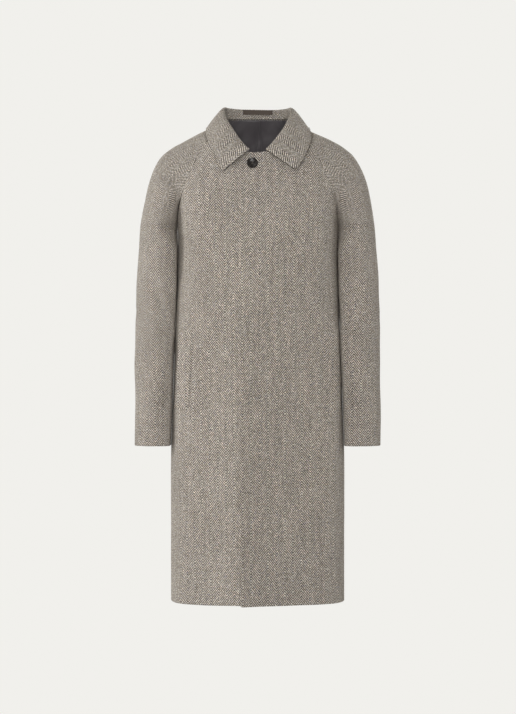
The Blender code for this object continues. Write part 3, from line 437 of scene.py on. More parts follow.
# ---------------------------------------------------------------- sizes and colours of the cloth
END_PITCH = 0.00122      # one warp yarn
LEG_ENDS = 16.0          # warp yarns between two reversals
PICK_PITCH = 0.0015      # one weft yarn
TWILL_PICKS = 4.0        # picks in which the twill repeats
FLOAT_EDGE = (0.215, 0.285)  # where a warp float goes under, in shares of a repeat
STRIPE_SHIFT = -0.0040   # how far a line where the twill reverses lies from the middle
COLLAR_WEAVE_ROW = 0.62  # the collar's are counted at this share of the way to its edge
DRIFT = (0.0011, 0.0022)     # how far the yarns stray, across and along
DRIFT_SCALE = 55.0
YARN_RELIEF = 0.0006
WEFT_RELIEF = 0.6        # of the warp's
NAP_RELIEF = 0.9
NAP_SCALE = 1900.0
END_SHADE_LENGTH = 0.0055    # a yarn's shade stays the same this far along it
PICK_SHADE_LENGTH = 0.0061
SLUB_SCALES = (900.0, 160.0)
GREY_SCALE = 260.0
FELT_SCALE = 30.0
BROAD_SCALE = 9.0
STREAK_SCALES = (150.0, 9.0)
STREAKS = 0.19
MOTTLE_SCALE = 330.0
MOTTLE = 0.52
FELTED = 0.36            # how far the weave blurs where the nap is thick
END_STEP = 0.45          # how much of the twill line goes up in steps, yarn by yarn
FUZZ_MIX = 0.30
KNOP_RAGGED = 0.10
KNOP_STRENGTH = 0.85
WARP_LOW = (0.47, 0.415, 0.35, 1)
WARP_HIGH = (0.96, 0.905, 0.81, 1)
WARP_TAN = (0.47, 0.38, 0.28, 1)
WARP_GREY = (0.46, 0.42, 0.46, 1)
WEFT_LOW = (0.014, 0.012, 0.012, 1)
WEFT_HIGH = (0.100, 0.080, 0.067, 1)
# Coloured knops: cells a metre, share of a cell, and the colours by chance.
KNOPS = (
    (165.0, 0.15, (
        (0.0, (0.030, 0.026, 0.026)),
        (0.28, (0.72, 0.69, 0.62)),
        (0.52, (0.30, 0.21, 0.12)),
        (0.66, (0.25, 0.22, 0.26)),
        (0.80, (0.40, 0.32, 0.21)),
        (0.93, (0.05, 0.045, 0.05)),
    )),
    (58.0, 0.060, (
        (0.0, (0.80, 0.77, 0.70)),
        (0.30, (0.020, 0.018, 0.018)),
        (0.55, (0.34, 0.22, 0.11)),
        (0.75, (0.76, 0.73, 0.66)),
        (0.90, (0.22, 0.19, 0.24)),
    )),
)
LINING_TWILL = 0.0011
LINING_DARK = (0.070, 0.062, 0.066, 1)
LINING_LIGHT = (0.105, 0.095, 0.099, 1)
LINING_RIB = (0.165, 0.150, 0.156, 1)
LABEL_RIB = 0.0007
LABEL_SCALES = (2400.0, 500.0)
LABEL_DARK = (0.046, 0.031, 0.022, 1)
LABEL_LIGHT = (0.098, 0.071, 0.052, 1)
HORN_DARK = (0.008, 0.007, 0.007, 1)
HORN_LIGHT = (0.022, 0.018, 0.016, 1)
HORN_STREAK = (0.040, 0.032, 0.027, 1)

# ---------------------------------------------------------------- sizes of the studio
CAMERA_PLACE = (0.0008, -4.5, -0.522)
CAMERA_LENS = 136.47
CAMERA_SENSOR = 36.0
CAMERA_REACH = 50.0
BACKDROP = (0.879, 0.871, 0.838)
FLOOR_Z = -1.46
FLOOR_RADIUS = 1.4
FLOOR_STEPS = 96
LIGHT_TARGET = (0.0, 0.0, -0.5)
AMBIENT = 0.24           # of the backdrop's brightness, as light on the coat
LAMP_REACH = 4.3
LAMP_SIZE = 1.6
# Soft lamps: degrees round from the front towards the wearer's left, degrees up, and watts.
LIGHTS = (
    ("key", -80.0, 6.0, 105.0),
    ("upper", -38.0, 48.0, 14.0),
    ("front", 0.0, 7.0, 100.0),
    ("fill", 84.0, 6.0, 37.0),
    ("behind", 160.0, 22.0, 70.0),
    ("behind_key", -150.0, 16.0, 60.0),
)


# ---------------------------------------------------------------- curves through tables
def table_at(table, key):
    """The other columns of a table at a key, on a smooth curve through its rows."""
    rows = np.array(table, float)
    keys = rows[:, 0]
    values = rows[:, 1:]
    slopes = np.gradient(values, keys, axis=0)
    key = np.clip(np.asarray(key, float), keys[0], keys[-1])
    row = np.clip(np.searchsorted(keys, key, side="right") - 1, 0, len(keys) - 2)
    step = keys[row + 1] - keys[row]
    part = ((key - keys[row]) / step)[..., None]
    step = step[..., None]
    return (
        (2 * part**3 - 3 * part**2 + 1) * values[row]
        + (part**3 - 2 * part**2 + part) * step * slopes[row]
        + (3 * part**2 - 2 * part**3) * values[row + 1]
        + (part**3 - part**2) * step * slopes[row + 1]
    )


def columns_at(names, table, key):
    """The same, by the names of the table's columns."""
    return dict(zip(names[1:], np.moveaxis(table_at(table, key), -1, 0)))


def bell(off, width):
    """1 where off is nothing, dying away to a third at the width."""
    return np.exp(-((off / width) ** 2))


def smooth_step(low, high, value):
    part = np.clip((value - low) / (high - low), 0, 1)
    return part * part * (3 - 2 * part)


def bezier(start, start_arm, end_arm, end, t):
    t = t[..., None]
    return (
        (1 - t) ** 3 * start
        + 3 * (1 - t) ** 2 * t * (start + start_arm)
        + 3 * (1 - t) * t**2 * (end + end_arm)
        + t**3 * end
    )


def unit(vectors):
    return vectors / np.linalg.norm(vectors, axis=-1, keepdims=True)


def stacked(x, y, z):
    return np.stack(np.broadcast_arrays(x, y, z), axis=-1)


def fold_height(across, along, top, foot, width, depth):
    """How far one fold stands out at (across, along); it dies away at both its ends."""
    way = np.array(foot) - np.array(top)
    length = math.hypot(*way)
    beside = across - top[0]
    below = along - top[1]
    run = (beside * way[0] + below * way[1]) / length**2
    off = (beside * way[1] - below * way[0]) / length
    ends = smooth_step(0.0, FOLD_END, run) * smooth_step(0.0, FOLD_END, 1 - run)
    return depth * ends * bell(off, width)


# ---------------------------------------------------------------- the body's surface
def body_point(turn, height, front):
    """Outer face of the body. turn is -1 at the wearer's right side seam, 0 in the middle
    and 1 at the left side seam."""
    columns = columns_at(BODY_COLUMNS, BODY_SECTIONS, height)
    across = np.sin(turn * math.pi / 2)
    half_width = columns["half_width"]
    x = half_width * across
    crown = -columns["ridge"] / half_width if front else 0.0
    spread = np.where(across > crown, 1 - crown, 1 + crown)
    off_crown = np.abs(across - crown) / spread
    name = "front" if front else "back"
    power = columns["front_power"] if front else 2.0
    depth = columns[name + "_mid"]
    depth = depth - (depth - columns[name + "_side"]) * off_crown**power
    for top_x, top_z, foot_x, foot_z, width, stands in FRONT_FOLDS if front else BACK_FOLDS:
        depth = depth + fold_height(x, height, (top_x, top_z), (foot_x, foot_z), width, stands)
    depth = depth * np.sqrt(np.clip(1 - np.abs(across) ** columns["corner"], 0, 1))
    return stacked(x, -depth if front else depth, height)


def body_turn(x, height):
    """The turn at which the body's surface has this x."""
    half_width = table_at(BODY_SECTIONS, height)[..., 0]
    return np.arcsin(np.clip(x / half_width, -1, 1)) * 2 / math.pi


def body_normal(turn, height, front):
    small = 0.001
    turn = np.clip(turn, -1 + small, 1 - small)
    across = body_point(turn + small, height, front) - body_point(turn - small, height, front)
    up = body_point(turn, height + small, front) - body_point(turn, height - small, front)
    normal = unit(np.cross(across, up))
    return normal if front else -normal


# ---------------------------------------------------------------- the panels
def raglan_height(share, front):
    return table_at(RAGLAN_RISE, share)[..., 0 if front else 1]


def row_height(v, front):
    """Height of a body panel's row at its side: up the side seam, then the raglan seam."""
    below = table_at(BODY_ROWS, np.minimum(v, BODY_ARMPIT))[..., 0]
    above = raglan_height((v - BODY_ARMPIT) / (1 - BODY_ARMPIT), front)
    return np.where(v < BODY_ARMPIT, below, above)


def front_point(u, v):
    """Turn and height on a front as if on the wearer's left. u runs from its edge to the side
    seam and the raglan seam, and v from the hem to the neck."""
    neck_z = FRONT_RAGLAN[-1][0]
    seam_z = row_height(v, True)
    edge_z = HEM_Z + (FRONT_NECK[0][1] - HEM_Z) * (seam_z - HEM_Z) / (neck_z - HEM_Z)
    seam_x = np.where(seam_z > ARMPIT_Z, table_at(FRONT_RAGLAN, seam_z)[..., 0], 1.0)
    lap_turn = body_turn(FRONT_EDGE_X, edge_z)
    turn = np.where(
        u < LAP_SHARE,
        lap_turn * (2 * u / LAP_SHARE - 1),
        lap_turn + (body_turn(seam_x, seam_z) - lap_turn) * (u - LAP_SHARE) / (1 - LAP_SHARE),
    )
    level = edge_z + (seam_z - edge_z) * u
    half_width = table_at(BODY_SECTIONS, level)[..., 0]
    x = half_width * np.sin(turn * math.pi / 2)
    neck = table_at(FRONT_NECK, x)[..., 0]
    top = FRONT_NECK[0][1] + (neck_z - FRONT_NECK[0][1]) * u
    level = level + (neck - top) * smooth_step(NECK_EASE, 1.0, v)
    return turn, level


def front_surface(u, v, over, mirror):
    """One front; over lifts it onto the other front."""
    turn, level = front_point(u, v)
    if not over:
        beside_lap = smooth_step(LAP_SHARE, 2 * LAP_SHARE, u)
        return body_point(turn * mirror, level + UNDER_HEM_RISE * (1 - beside_lap) * (1 - v), True)
    points = body_point(turn * mirror, level, True)
    normal = body_normal(turn * mirror, level, True)
    lift = FLY_LIFT * (1 - smooth_step(*FLY_LIFT_ENDS, points[..., 0]))
    return points + normal * lift[..., None]


def back_surface(u, v):
    """u runs from the wearer's right to the left, v from the hem to the neck."""
    side = 2 * u - 1
    neck_z = BACK_RAGLAN[-1][0]
    seam_z = row_height(v, False)
    seam_x = np.where(seam_z > ARMPIT_Z, table_at(BACK_RAGLAN, seam_z)[..., 0], 1.0)
    turn = body_turn(seam_x, seam_z) * side
    half_width = table_at(BODY_SECTIONS, seam_z)[..., 0]
    x = np.abs(half_width * np.sin(turn * math.pi / 2))
    rise = table_at(BACK_NECK, x)[..., 0] - neck_z
    level = seam_z + rise * smooth_step(NECK_EASE, 1.0, v)
    return body_point(turn, level, False)


def arm_height(v):
    """Height of the seam under the arm, from the armpit to the cuff."""
    over_z = table_at(SLEEVE_RIBS, v)[..., 2]
    armpit_over_z = table_at(SLEEVE_RIBS, SLEEVE_ARMPIT)[..., 2]
    return CUFF_Z + (ARMPIT_Z - CUFF_Z) * (over_z - CUFF_Z) / (armpit_over_z - CUFF_Z)


def seam_point(height, front):
    """The body-side edge of the sleeve: the raglan seam, then the seam under the arm."""
    above = np.maximum(height, ARMPIT_Z)
    raglan = table_at(FRONT_RAGLAN if front else BACK_RAGLAN, above)
    turn = body_turn(raglan[..., 0], above)
    clear = ARM_CLEAR * (1 - smooth_step(ARMPIT_Z, ARM_CLEAR_TOP, height))
    on_body = body_point(turn, above, front) + body_normal(turn, above, front) * clear[..., None]
    below = np.minimum(height, ARMPIT_Z)
    side_x = table_at(BODY_SECTIONS, below)[..., 0] + clear
    on_arm = stacked(side_x, table_at(UNDERARM, below)[..., 0], height)
    return np.where((height > ARMPIT_Z)[..., None], on_body, on_arm), turn


def hugged(points, seam, over, height, front):
    """Points of a sleeve's arc moved towards the body, most of all near the seam under the arm."""
    columns = columns_at(BODY_COLUMNS, BODY_SECTIONS, np.minimum(height, ARMPIT_Z))
    weight = 1 - smooth_step(HUG_FOOT, ARMPIT_Z, height)
    share = np.clip((points[..., 0] - seam[..., 0]) / (over[..., 0] - seam[..., 0]), 0, 1)
    side_depth = columns["front_side" if front else "back_side"]
    depth = np.clip(np.abs(points[..., 1] / side_depth), 0, HUG_MOST)
    rounding = columns["half_width"] * (1 - (1 - depth**2) ** (1 / columns["corner"]))
    flat = (over[..., 0] - seam[..., 0]) * (share - share ** (1 + HUG_FLATTEN))
    return points - stacked(weight * (flat + rounding * (1 - share)), 0.0, 0.0)


def sleeve_arc(u, v, front):
    """The smooth left sleeve. u runs from the body-side seam to the shoulder seam, v from the
    neck to the cuff."""
    rib = columns_at(SLEEVE_COLUMNS, SLEEVE_RIBS, v)
    name = "front" if front else "back"
    on_raglan = raglan_height(1 - v / SLEEVE_ARMPIT, front)
    height = np.where(v < SLEEVE_ARMPIT, on_raglan, arm_height(v))
    seam, turn = seam_point(height, front)
    over = stacked(rib["over_x"], rib["over_y"], rib["over_z"])
    forward = np.array([0.0, -1.0 if front else 1.0, 0.0])
    chord = over - seam
    normal = body_normal(turn, np.maximum(height, ARMPIT_Z), front)
    along_body = unit(chord - (chord * normal).sum(-1, keepdims=True) * normal)
    turned = rib["arm_turn"][..., None]
    leave = unit((1 - turned) * along_body + turned * forward)
    points = bezier(
        seam,
        leave * rib[name + "_reach"][..., None],
        forward * rib[name + "_over_reach"][..., None],
        over,
        u,
    )
    return hugged(points, seam, over, height, front)


def sleeve_surface(u, v, front, mirror):
    """One sleeve panel with its folds."""
    small = 0.002
    points = sleeve_arc(u, v, front)
    inner_u = np.clip(u, small, 1 - small)
    inner_v = np.clip(v, small, 1 - small)
    across = sleeve_arc(inner_u + small, inner_v, front) - sleeve_arc(inner_u - small, inner_v, front)
    along = sleeve_arc(inner_u, inner_v + small, front) - sleeve_arc(inner_u, inner_v - small, front)
    normal = unit(np.cross(along, across))
    if not front:
        normal = -normal
    width, length = SLEEVE_FOLD_SIZE
    for side, on_front, top_u, top_v, foot_u, foot_v, fold_width, depth in SLEEVE_FOLDS:
        if side != mirror or bool(on_front) != front:
            continue
        stands = fold_height(u * width, v * length, (top_u * width, top_v * length),
                             (foot_u * width, foot_v * length), fold_width, depth)
        points = points + normal * stands[..., None]
    return points * np.array([mirror, 1.0, 1.0])


def neck_point(along):
    """The seam between coat and collar, from the middle of the back (0) to the end of the
    collar at the front (1), on the wearer's left."""
    share_back, share_shoulder = NECK_SHARES
    back_u = 0.5 + 0.5 * np.clip(along / share_back, 0, 1)
    back = back_surface(back_u, np.ones_like(along))
    shoulder = np.clip((along - share_back) / (share_shoulder - share_back), 0, 1)
    behind = sleeve_surface(np.clip(2 * shoulder, 0, 1), np.zeros_like(along), False, 1)
    ahead = sleeve_surface(np.clip(2 - 2 * shoulder, 0, 1), np.zeros_like(along), True, 1)
    edge = -FRONT_EDGE_X
    end_u = (COLLAR_END_X - edge) / (FRONT_RAGLAN[-1][1] - edge)
    front_u = 1 - (1 - end_u) * np.clip((along - share_shoulder) / (1 - share_shoulder), 0, 1)
    front = front_surface(front_u, np.ones_like(along), True, 1)
    points = np.where((along < share_back)[..., None], back, behind)
    points = np.where((shoulder > 0.5)[..., None], ahead, points)
    return np.where((along > share_shoulder)[..., None], front, points)


def collar_outward(rib):
    lean = np.radians(rib["lean"])
    return stacked(np.sin(lean), np.cos(lean), 0.0)


def collar_surface(u, w):
    """u runs round the neck from the wearer's right to the left. w runs from the neck seam up
    the stand's face (0 to FOLD_AT), over the fold and down the leaf's face to its edge (1)."""
    along = np.abs(2 * u - 1)
    side = np.where(u < 0.5, -1.0, 1.0)
    rib = columns_at(COLLAR_COLUMNS, COLLAR_RIBS, along)
    fold = stacked(rib["fold_x"], rib["fold_y"], rib["fold_z"])
    outward = collar_outward(rib)

    lift = np.array([0.0, 0.0, STAND_LIFT])
    base = neck_point(rib["seam"]) - outward * STAND_INSET + lift
    stand = bezier(base, (fold - base) * STAND_HANDLE, -outward * FOLD_HALF_WIDTH, fold,
                   np.clip(w / FOLD_AT, 0, 1))

    tip = smooth_step(LEAF_TIP_FROM, 1.0, along)
    wide = smooth_step(*LEAF_WIDENS, along)
    left = side > 0
    spread = left * wide * (LEFT_LEAF_SPREAD + (LEFT_TIP_SPREAD - LEFT_LEAF_SPREAD) * tip)
    lift_off = np.where(left, LEFT_LEAF_LIFT * wide, RIGHT_TIP_LIFT * tip)
    drop = np.where(left, 0.0, RIGHT_TIP_DROP * tip)
    edge = stacked(rib["edge_x"] + spread, rib["edge_y"], rib["edge_z"] - drop)
    edge = edge + outward * lift_off[..., None]
    full = (fold - edge) * LEAF_HANDLE + outward * rib["belly"][..., None]
    leaf = bezier(fold, outward * rib["roll"][..., None], full, edge,
                  np.clip((w - FOLD_AT) / (1 - FOLD_AT), 0, 1))
    points = np.where((w < FOLD_AT)[..., None], stand, leaf)
    return points * stacked(side, 1.0, 1.0)


# ---------------------------------------------------------------- what lies on the panels
def lining_surface(u, v):
    """The lining's face inside the upper back, with a pleat down its middle."""
    row = LINING_FOOT + (1 - LINING_FOOT) * v
    across = LINING_SIDE + (1 - 2 * LINING_SIDE) * u
    base = back_surface(across, row)
    turn = body_turn(base[..., 0], base[..., 2])
    normal = body_normal(turn, base[..., 2], False)
    beside = base[..., 0] - PLEAT_X
    width = np.where(beside > 0, PLEAT_FRONT, PLEAT_BEHIND)
    pleat = PLEAT_DEPTH * np.clip(1 - np.abs(beside) / width, 0, 1) ** PLEAT_POWER
    inside = CLOTH + LINING + LINING_CLEAR + pleat
    return base - normal * inside[..., None]


def label_surface(u, v):
    """On the stand's face, just under the fold."""
    nearby = 0.07
    x_nearby = collar_surface(np.array([0.5 + nearby]), np.array([LABEL_FOOT_V]))[0, 0]
    reach = LABEL_WIDTH / 2 * nearby / x_nearby
    around = 0.5 + (u - 0.5) * 2 * reach
    base = collar_surface(around, LABEL_FOOT_V + (LABEL_TOP_V - LABEL_FOOT_V) * v)
    rib = columns_at(COLLAR_COLUMNS, COLLAR_RIBS, np.abs(2 * around - 1))
    side = np.where(around < 0.5, -1.0, 1.0)
    outward = collar_outward(rib) * stacked(side, 1.0, 1.0)
    return base - outward * (LABEL_CLEAR + LABEL_CLOTH)


def welt_surface(u, v, mirror):
    """u runs back from the welt's forward edge, v from its foot to its top."""
    height = WELT_FOOT[1] + (WELT_TOP[1] - WELT_FOOT[1]) * v
    forward_x = WELT_FOOT[0] + (WELT_TOP[0] - WELT_FOOT[0]) * v
    turn = body_turn(forward_x, height)
    turn = turn + u * WELT_TURN
    base = body_point(turn * mirror, height, True)
    normal = body_normal(turn * mirror, height, True)
    proud = WELT_CLEAR + WELT_CLOTH + WELT_SPRING * u * u
    return base + normal * proud[..., None]


def button(material, collection):
    """A dished round button with a rim, its axis on the front's normal."""
    mesh = bpy.data.meshes.new("neck_button")
    outline = bmesh.new()
    corners = [outline.verts.new((radius, 0.0, height)) for radius, height in BUTTON_PROFILE]
    for first, second in zip(corners, corners[1:]):
        outline.edges.new((first, second))
    outline.to_mesh(mesh)
    outline.free()
    mesh.materials.append(material)
    piece = bpy.data.objects.new("neck_button_turned", mesh)
    collection.objects.link(piece)
    turned = piece.modifiers.new("turned", "SCREW")
    turned.steps = BUTTON_STEPS
    turned.render_steps = BUTTON_STEPS
    turned.use_merge_vertices = True
    turned.merge_threshold = BUTTON_WELD
    turned.use_normal_calculate = True

    x, z = BUTTON_CENTRE
    turn = body_turn(np.array([x]), np.array([z]))
    normal = body_normal(turn, np.array([z]), True)[0]
    on_front = body_point(turn, np.array([z]), True)[0]
    piece.location = on_front + normal * (FLY_LIFT + BUTTON_SHANK)
    piece.rotation_euler = Vector(normal).to_track_quat("Z", "Y").to_euler()
    return piece


def sewing_holes(piece, collection):
    """Cuts the four holes with one hidden cutter."""
    cutter = bmesh.new()
    for corner in range(4):
        angle = math.radians(45 + 90 * corner)
        place = Matrix.Translation(
            (BUTTON_HOLE_OFFSET * math.cos(angle), BUTTON_HOLE_OFFSET * math.sin(angle),
             BUTTON_HOLE_MIDDLE)
        )
        bmesh.ops.create_cone(cutter, cap_ends=True, segments=BUTTON_HOLE_SIDES,
                              radius1=BUTTON_HOLE_RADIUS, radius2=BUTTON_HOLE_RADIUS,
                              depth=BUTTON_HOLE_CUT, matrix=place)
    mesh = bpy.data.meshes.new("button_hole_cutter")
    cutter.to_mesh(mesh)
    cutter.free()
    holes = bpy.data.objects.new("button_hole_cutter", mesh)
    collection.objects.link(holes)
    holes.location = piece.location
    holes.rotation_euler = piece.rotation_euler
    holes.hide_render = True
    holes.display_type = "WIRE"
    cut = piece.modifiers.new("sewing_holes", "BOOLEAN")
    cut.operation = "DIFFERENCE"
    cut.object = holes


def seam_step(surface, v, seam_u, gap):
    """How far u has to move off the seam at seam_u to lie a gap in metres away from it."""
    step = 0.01
    inner_u = abs(seam_u - step)
    seam = np.full_like(v, seam_u)
    row = surface(np.full_like(v, inner_u), v) - surface(seam, v)
    low_v = np.clip(v - step, 0, 1)
    high_v = np.clip(v + step, 0, 1)
    along = unit(surface(seam, high_v) - surface(seam, low_v))
    square = np.linalg.norm(np.cross(row, along), axis=-1)
    least = LEAST_SLANT * np.linalg.norm(row, axis=-1)
    return gap * step / np.maximum(square, least)


def off_seams(surface, low, high):
    """The surface drawn back from its seams: by low at u = 0 and by high at u = 1, in metres."""
    def drawn_back(u, v):
        rows, row = np.unique(v, return_inverse=True)
        row = row.reshape(v.shape)
        start = seam_step(surface, rows, 0.0, low)[row]
        end = 1 - seam_step(surface, rows, 1.0, high)[row]
        return surface(start + u * (end - start), v)
    return drawn_back


def surface_normal(surface, u, v):
    """Square to the surface: outward where, seen from outside, u runs right and v runs up."""
    u = np.clip(u, NORMAL_STEP, 1 - NORMAL_STEP)
    v = np.clip(v, NORMAL_STEP, 1 - NORMAL_STEP)
    across = surface(u + NORMAL_STEP, v) - surface(u - NORMAL_STEP, v)
    along = surface(u, v + NORMAL_STEP) - surface(u, v - NORMAL_STEP)
    return unit(np.cross(across, along))


# ---------------------------------------------------------------- node trees
class Nodes:
    """A short way to write a node tree."""

    def __init__(self, name):
        self.material = bpy.data.materials.new(name)
        self.material.use_nodes = True
        self.tree = self.material.node_tree
        self.shader = self.tree.nodes["Principled BSDF"]
        self.shader.inputs["Metallic"].default_value = 0.0

    def node(self, kind, inputs=(), **settings):
        made = self.tree.nodes.new(kind)
        for key, value in settings.items():
            setattr(made, key, value)
        for key, value in dict(inputs).items():
            self.put(value, made.inputs[key])
        return made

    def put(self, value, socket):
        if isinstance(value, bpy.types.NodeSocket):
            self.tree.links.new(value, socket)
        else:
            socket.default_value = value

    def shaded(self, looks):
        """The material, with these values and links on its shader's sockets."""
        for name, value in looks.items():
            self.put(value, self.shader.inputs[name])
        return self.material

    def math(self, operation, *values, clamp=False):
        made = self.node("ShaderNodeMath", operation=operation, use_clamp=clamp)
        for index, value in enumerate(values):
            self.put(value, made.inputs[index])
        return made.outputs[0]

    def times(self, first, second):
        return self.math("MULTIPLY", first, second)

    def minus(self, first, second):
        return self.math("SUBTRACT", first, second)

    def per(self, first, second):
        return self.math("DIVIDE", first, second)

    def strayed(self, texture, amount, value, clamp=False):
        """The value, moved up or down by a texture that is 0.5 on average."""
        return self.math("MULTIPLY_ADD", self.minus(texture, 0.5), amount, value, clamp=clamp)

    def rounded(self, part):
        """0 at both sides of a yarn and 1 in its middle, where part is a half."""
        off_middle = self.math("ABSOLUTE", self.math("MULTIPLY_ADD", part, 2.0, -1.0))
        return self.minus(1.0, self.math("POWER", off_middle, 2.0))

    def mix(self, factor, first, second, blend="MIX"):
        made = self.node("ShaderNodeMix", data_type="RGBA", blend_type=blend)
        self.put(factor, made.inputs["Factor"])
        self.put(first, made.inputs["A"])
        self.put(second, made.inputs["B"])
        return made.outputs["Result"]

    def noise(self, vector, scale, detail=2.0, rough=0.5):
        inputs = {"Vector": vector, "Scale": scale, "Detail": detail, "Roughness": rough}
        return self.node("ShaderNodeTexNoise", inputs).outputs["Fac"]

    def white(self, x, y):
        made = self.node("ShaderNodeTexWhiteNoise", noise_dimensions="2D")
        self.put(self.combine(x, y), made.inputs["Vector"])
        return made.outputs["Value"]

    def band(self, value, low, high, to_low=0.0, to_high=1.0, smooth=True):
        inputs = {"Value": value, "From Min": low, "From Max": high, "To Min": to_low, "To Max": to_high}
        kind = "SMOOTHSTEP" if smooth else "LINEAR"
        return self.node("ShaderNodeMapRange", inputs, interpolation_type=kind).outputs["Result"]

    def combine(self, x, y, z=0.0):
        made = self.node("ShaderNodeCombineXYZ")
        for index, value in enumerate((x, y, z)):
            self.put(value, made.inputs[index])
        return made.outputs[0]

    def stretched(self, across, along, scales):
        return self.combine(self.times(across, scales[0]), self.times(along, scales[1]))

    def cloth_uv(self):
        made = self.node("ShaderNodeUVMap", uv_map="cloth")
        split = self.node("ShaderNodeSeparateXYZ", {"Vector": made.outputs[0]})
        return made.outputs[0], split.outputs["X"], split.outputs["Y"]

    def object_place(self):
        return self.node("ShaderNodeTexCoord").outputs["Object"]

    def bump(self, height, distance, strength=1.0, below=None):
        inputs = {"Height": height, "Distance": distance, "Strength": strength}
        made = self.node("ShaderNodeBump", inputs)
        if below is not None:
            self.put(below, made.inputs["Normal"])
        return made.outputs[0]

    def ramp(self, value, stops):
        made = self.node("ShaderNodeValToRGB", {"Fac": value})
        ramp = made.color_ramp
        ramp.interpolation = "CONSTANT"
        while len(ramp.elements) < len(stops):
            ramp.elements.new(0.5)
        for element, (place, colour) in zip(ramp.elements, stops):
            element.position = place
            element.color = (*colour, 1.0)
        return made.outputs["Color"]


def tweed():
    """2/2 herringbone: light warp floats over a dark weft, reversing every LEG_ENDS warp yarns."""
    n = Nodes("herringbone_wool")
    uv, across, along = n.cloth_uv()
    drift = n.node("ShaderNodeTexNoise", {"Vector": uv, "Scale": DRIFT_SCALE, "Detail": 2.0})
    drift = n.node("ShaderNodeSeparateXYZ", {"Vector": drift.outputs["Color"]})
    across = n.strayed(drift.outputs["X"], DRIFT[0], across)
    along = n.strayed(drift.outputs["Y"], DRIFT[1], along)
    ends = n.per(across, END_PITCH)
    end = n.math("FLOOR", ends)
    stepped = n.math("MULTIPLY_ADD", n.minus(end, ends), END_STEP, ends)
    leg = n.math("PINGPONG", stepped, LEG_ENDS)
    picks = n.per(along, PICK_PITCH)
    turn = n.per(n.minus(picks, leg), TWILL_PICKS)
    off_middle = n.math("ABSOLUTE", n.minus(n.math("FRACT", turn), 0.5))
    warp_up = n.band(off_middle, *FLOAT_EDGE)

    # yarns: each end and pick has its own shade, and slubs along it
    end_shade = n.white(end, n.math("FLOOR", n.per(along, END_SHADE_LENGTH)))
    pick_shade = n.white(n.math("FLOOR", picks), n.math("FLOOR", n.per(across, PICK_SHADE_LENGTH)))
    slub = n.noise(n.stretched(across, along, SLUB_SCALES), 1.0, 2.0, 0.6)
    nap = n.noise(uv, NAP_SCALE, 3.0, 0.75)
    light = n.mix(end_shade, WARP_LOW, WARP_HIGH)
    light = n.mix(n.band(slub, 0.50, 0.66), light, WARP_TAN)
    light = n.mix(n.band(n.noise(uv, GREY_SCALE, 1.0), 0.56, 0.70), light, WARP_GREY)
    dark = n.mix(pick_shade, WEFT_LOW, WEFT_HIGH)
    blurred = n.strayed(nap, FUZZ_MIX, warp_up, clamp=True)
    felted = n.band(n.noise(uv, FELT_SCALE, 2.0, 0.6), 0.48, 0.75, 0.0, FELTED)
    blurred = n.math("MULTIPLY_ADD", n.minus(0.5, blurred), felted, blurred)
    cloth = n.mix(blurred, dark, light)

    # knops of coloured wool
    for scale, size, stops in KNOPS:
        inputs = {"Vector": uv, "Scale": scale, "Randomness": 1.0}
        cells = n.node("ShaderNodeTexVoronoi", inputs, voronoi_dimensions="2D")
        chance = n.node("ShaderNodeSeparateColor", {"Color": cells.outputs["Color"]})
        ragged = n.strayed(nap, KNOP_RAGGED, cells.outputs["Distance"])
        spot = n.math("LESS_THAN", ragged, n.times(chance.outputs["Green"], size))
        cloth = n.mix(n.times(spot, KNOP_STRENGTH), cloth, n.ramp(chance.outputs["Red"], stops))

    # slow changes of shade over the cloth
    broad = n.noise(uv, BROAD_SCALE, 3.0, 0.6)
    streaks = n.noise(n.stretched(across, along, STREAK_SCALES), 1.0, 3.0, 0.65)
    shade = n.math("ADD", n.band(broad, 0.25, 0.75, 0.95, 1.08, False),
                   n.band(streaks, 0.25, 0.75, -STREAKS, STREAKS, False))
    mottle = n.noise(uv, MOTTLE_SCALE, 2.0, 0.6)
    shade = n.math("ADD", shade, n.band(mottle, 0.25, 0.75, -MOTTLE, MOTTLE, False))
    cloth = n.mix(1.0, cloth, n.combine(shade, shade, shade), "MULTIPLY")

    # relief: round yarns, then nap
    warp_round = n.rounded(n.math("FRACT", ends))
    weft_round = n.rounded(n.math("FRACT", picks))
    weft_up = n.minus(1.0, warp_up)
    relief = n.math("ADD", n.times(warp_round, warp_up),
                    n.times(n.times(weft_round, WEFT_RELIEF), weft_up))
    relief = n.math("MULTIPLY_ADD", nap, NAP_RELIEF, relief)
    return n.shaded({
        "Base Color": cloth,
        "Roughness": n.band(nap, 0.2, 0.8, 0.86, 0.98),
        "Specular IOR Level": 0.25,
        "Sheen Weight": 0.22,
        "Sheen Roughness": 0.55,
        "Sheen Tint": (0.98, 0.88, 0.74, 1.0),
        "Normal": n.bump(relief, YARN_RELIEF, 0.7),
    })


def lining_satin():
    n = Nodes("dark_lining")
    uv, across, along = n.cloth_uv()
    twill = n.math("FRACT", n.per(n.math("ADD", across, along), LINING_TWILL))
    rib = n.math("ABSOLUTE", n.minus(twill, 0.5))
    broad = n.noise(uv, 22.0, 3.0, 0.55)
    base = n.mix(n.band(broad, 0.3, 0.7), LINING_DARK, LINING_LIGHT)
    return n.shaded({
        "Base Color": n.mix(n.times(rib, 0.5), base, LINING_RIB),
        "Roughness": n.band(broad, 0.3, 0.7, 0.28, 0.40),
        "Sheen Weight": 0.32,
        "Specular IOR Level": 0.8,
        "Anisotropic": 0.4,
        "Normal": n.bump(rib, 0.00012, 0.5, n.bump(broad, 0.0025, 0.5)),
    })


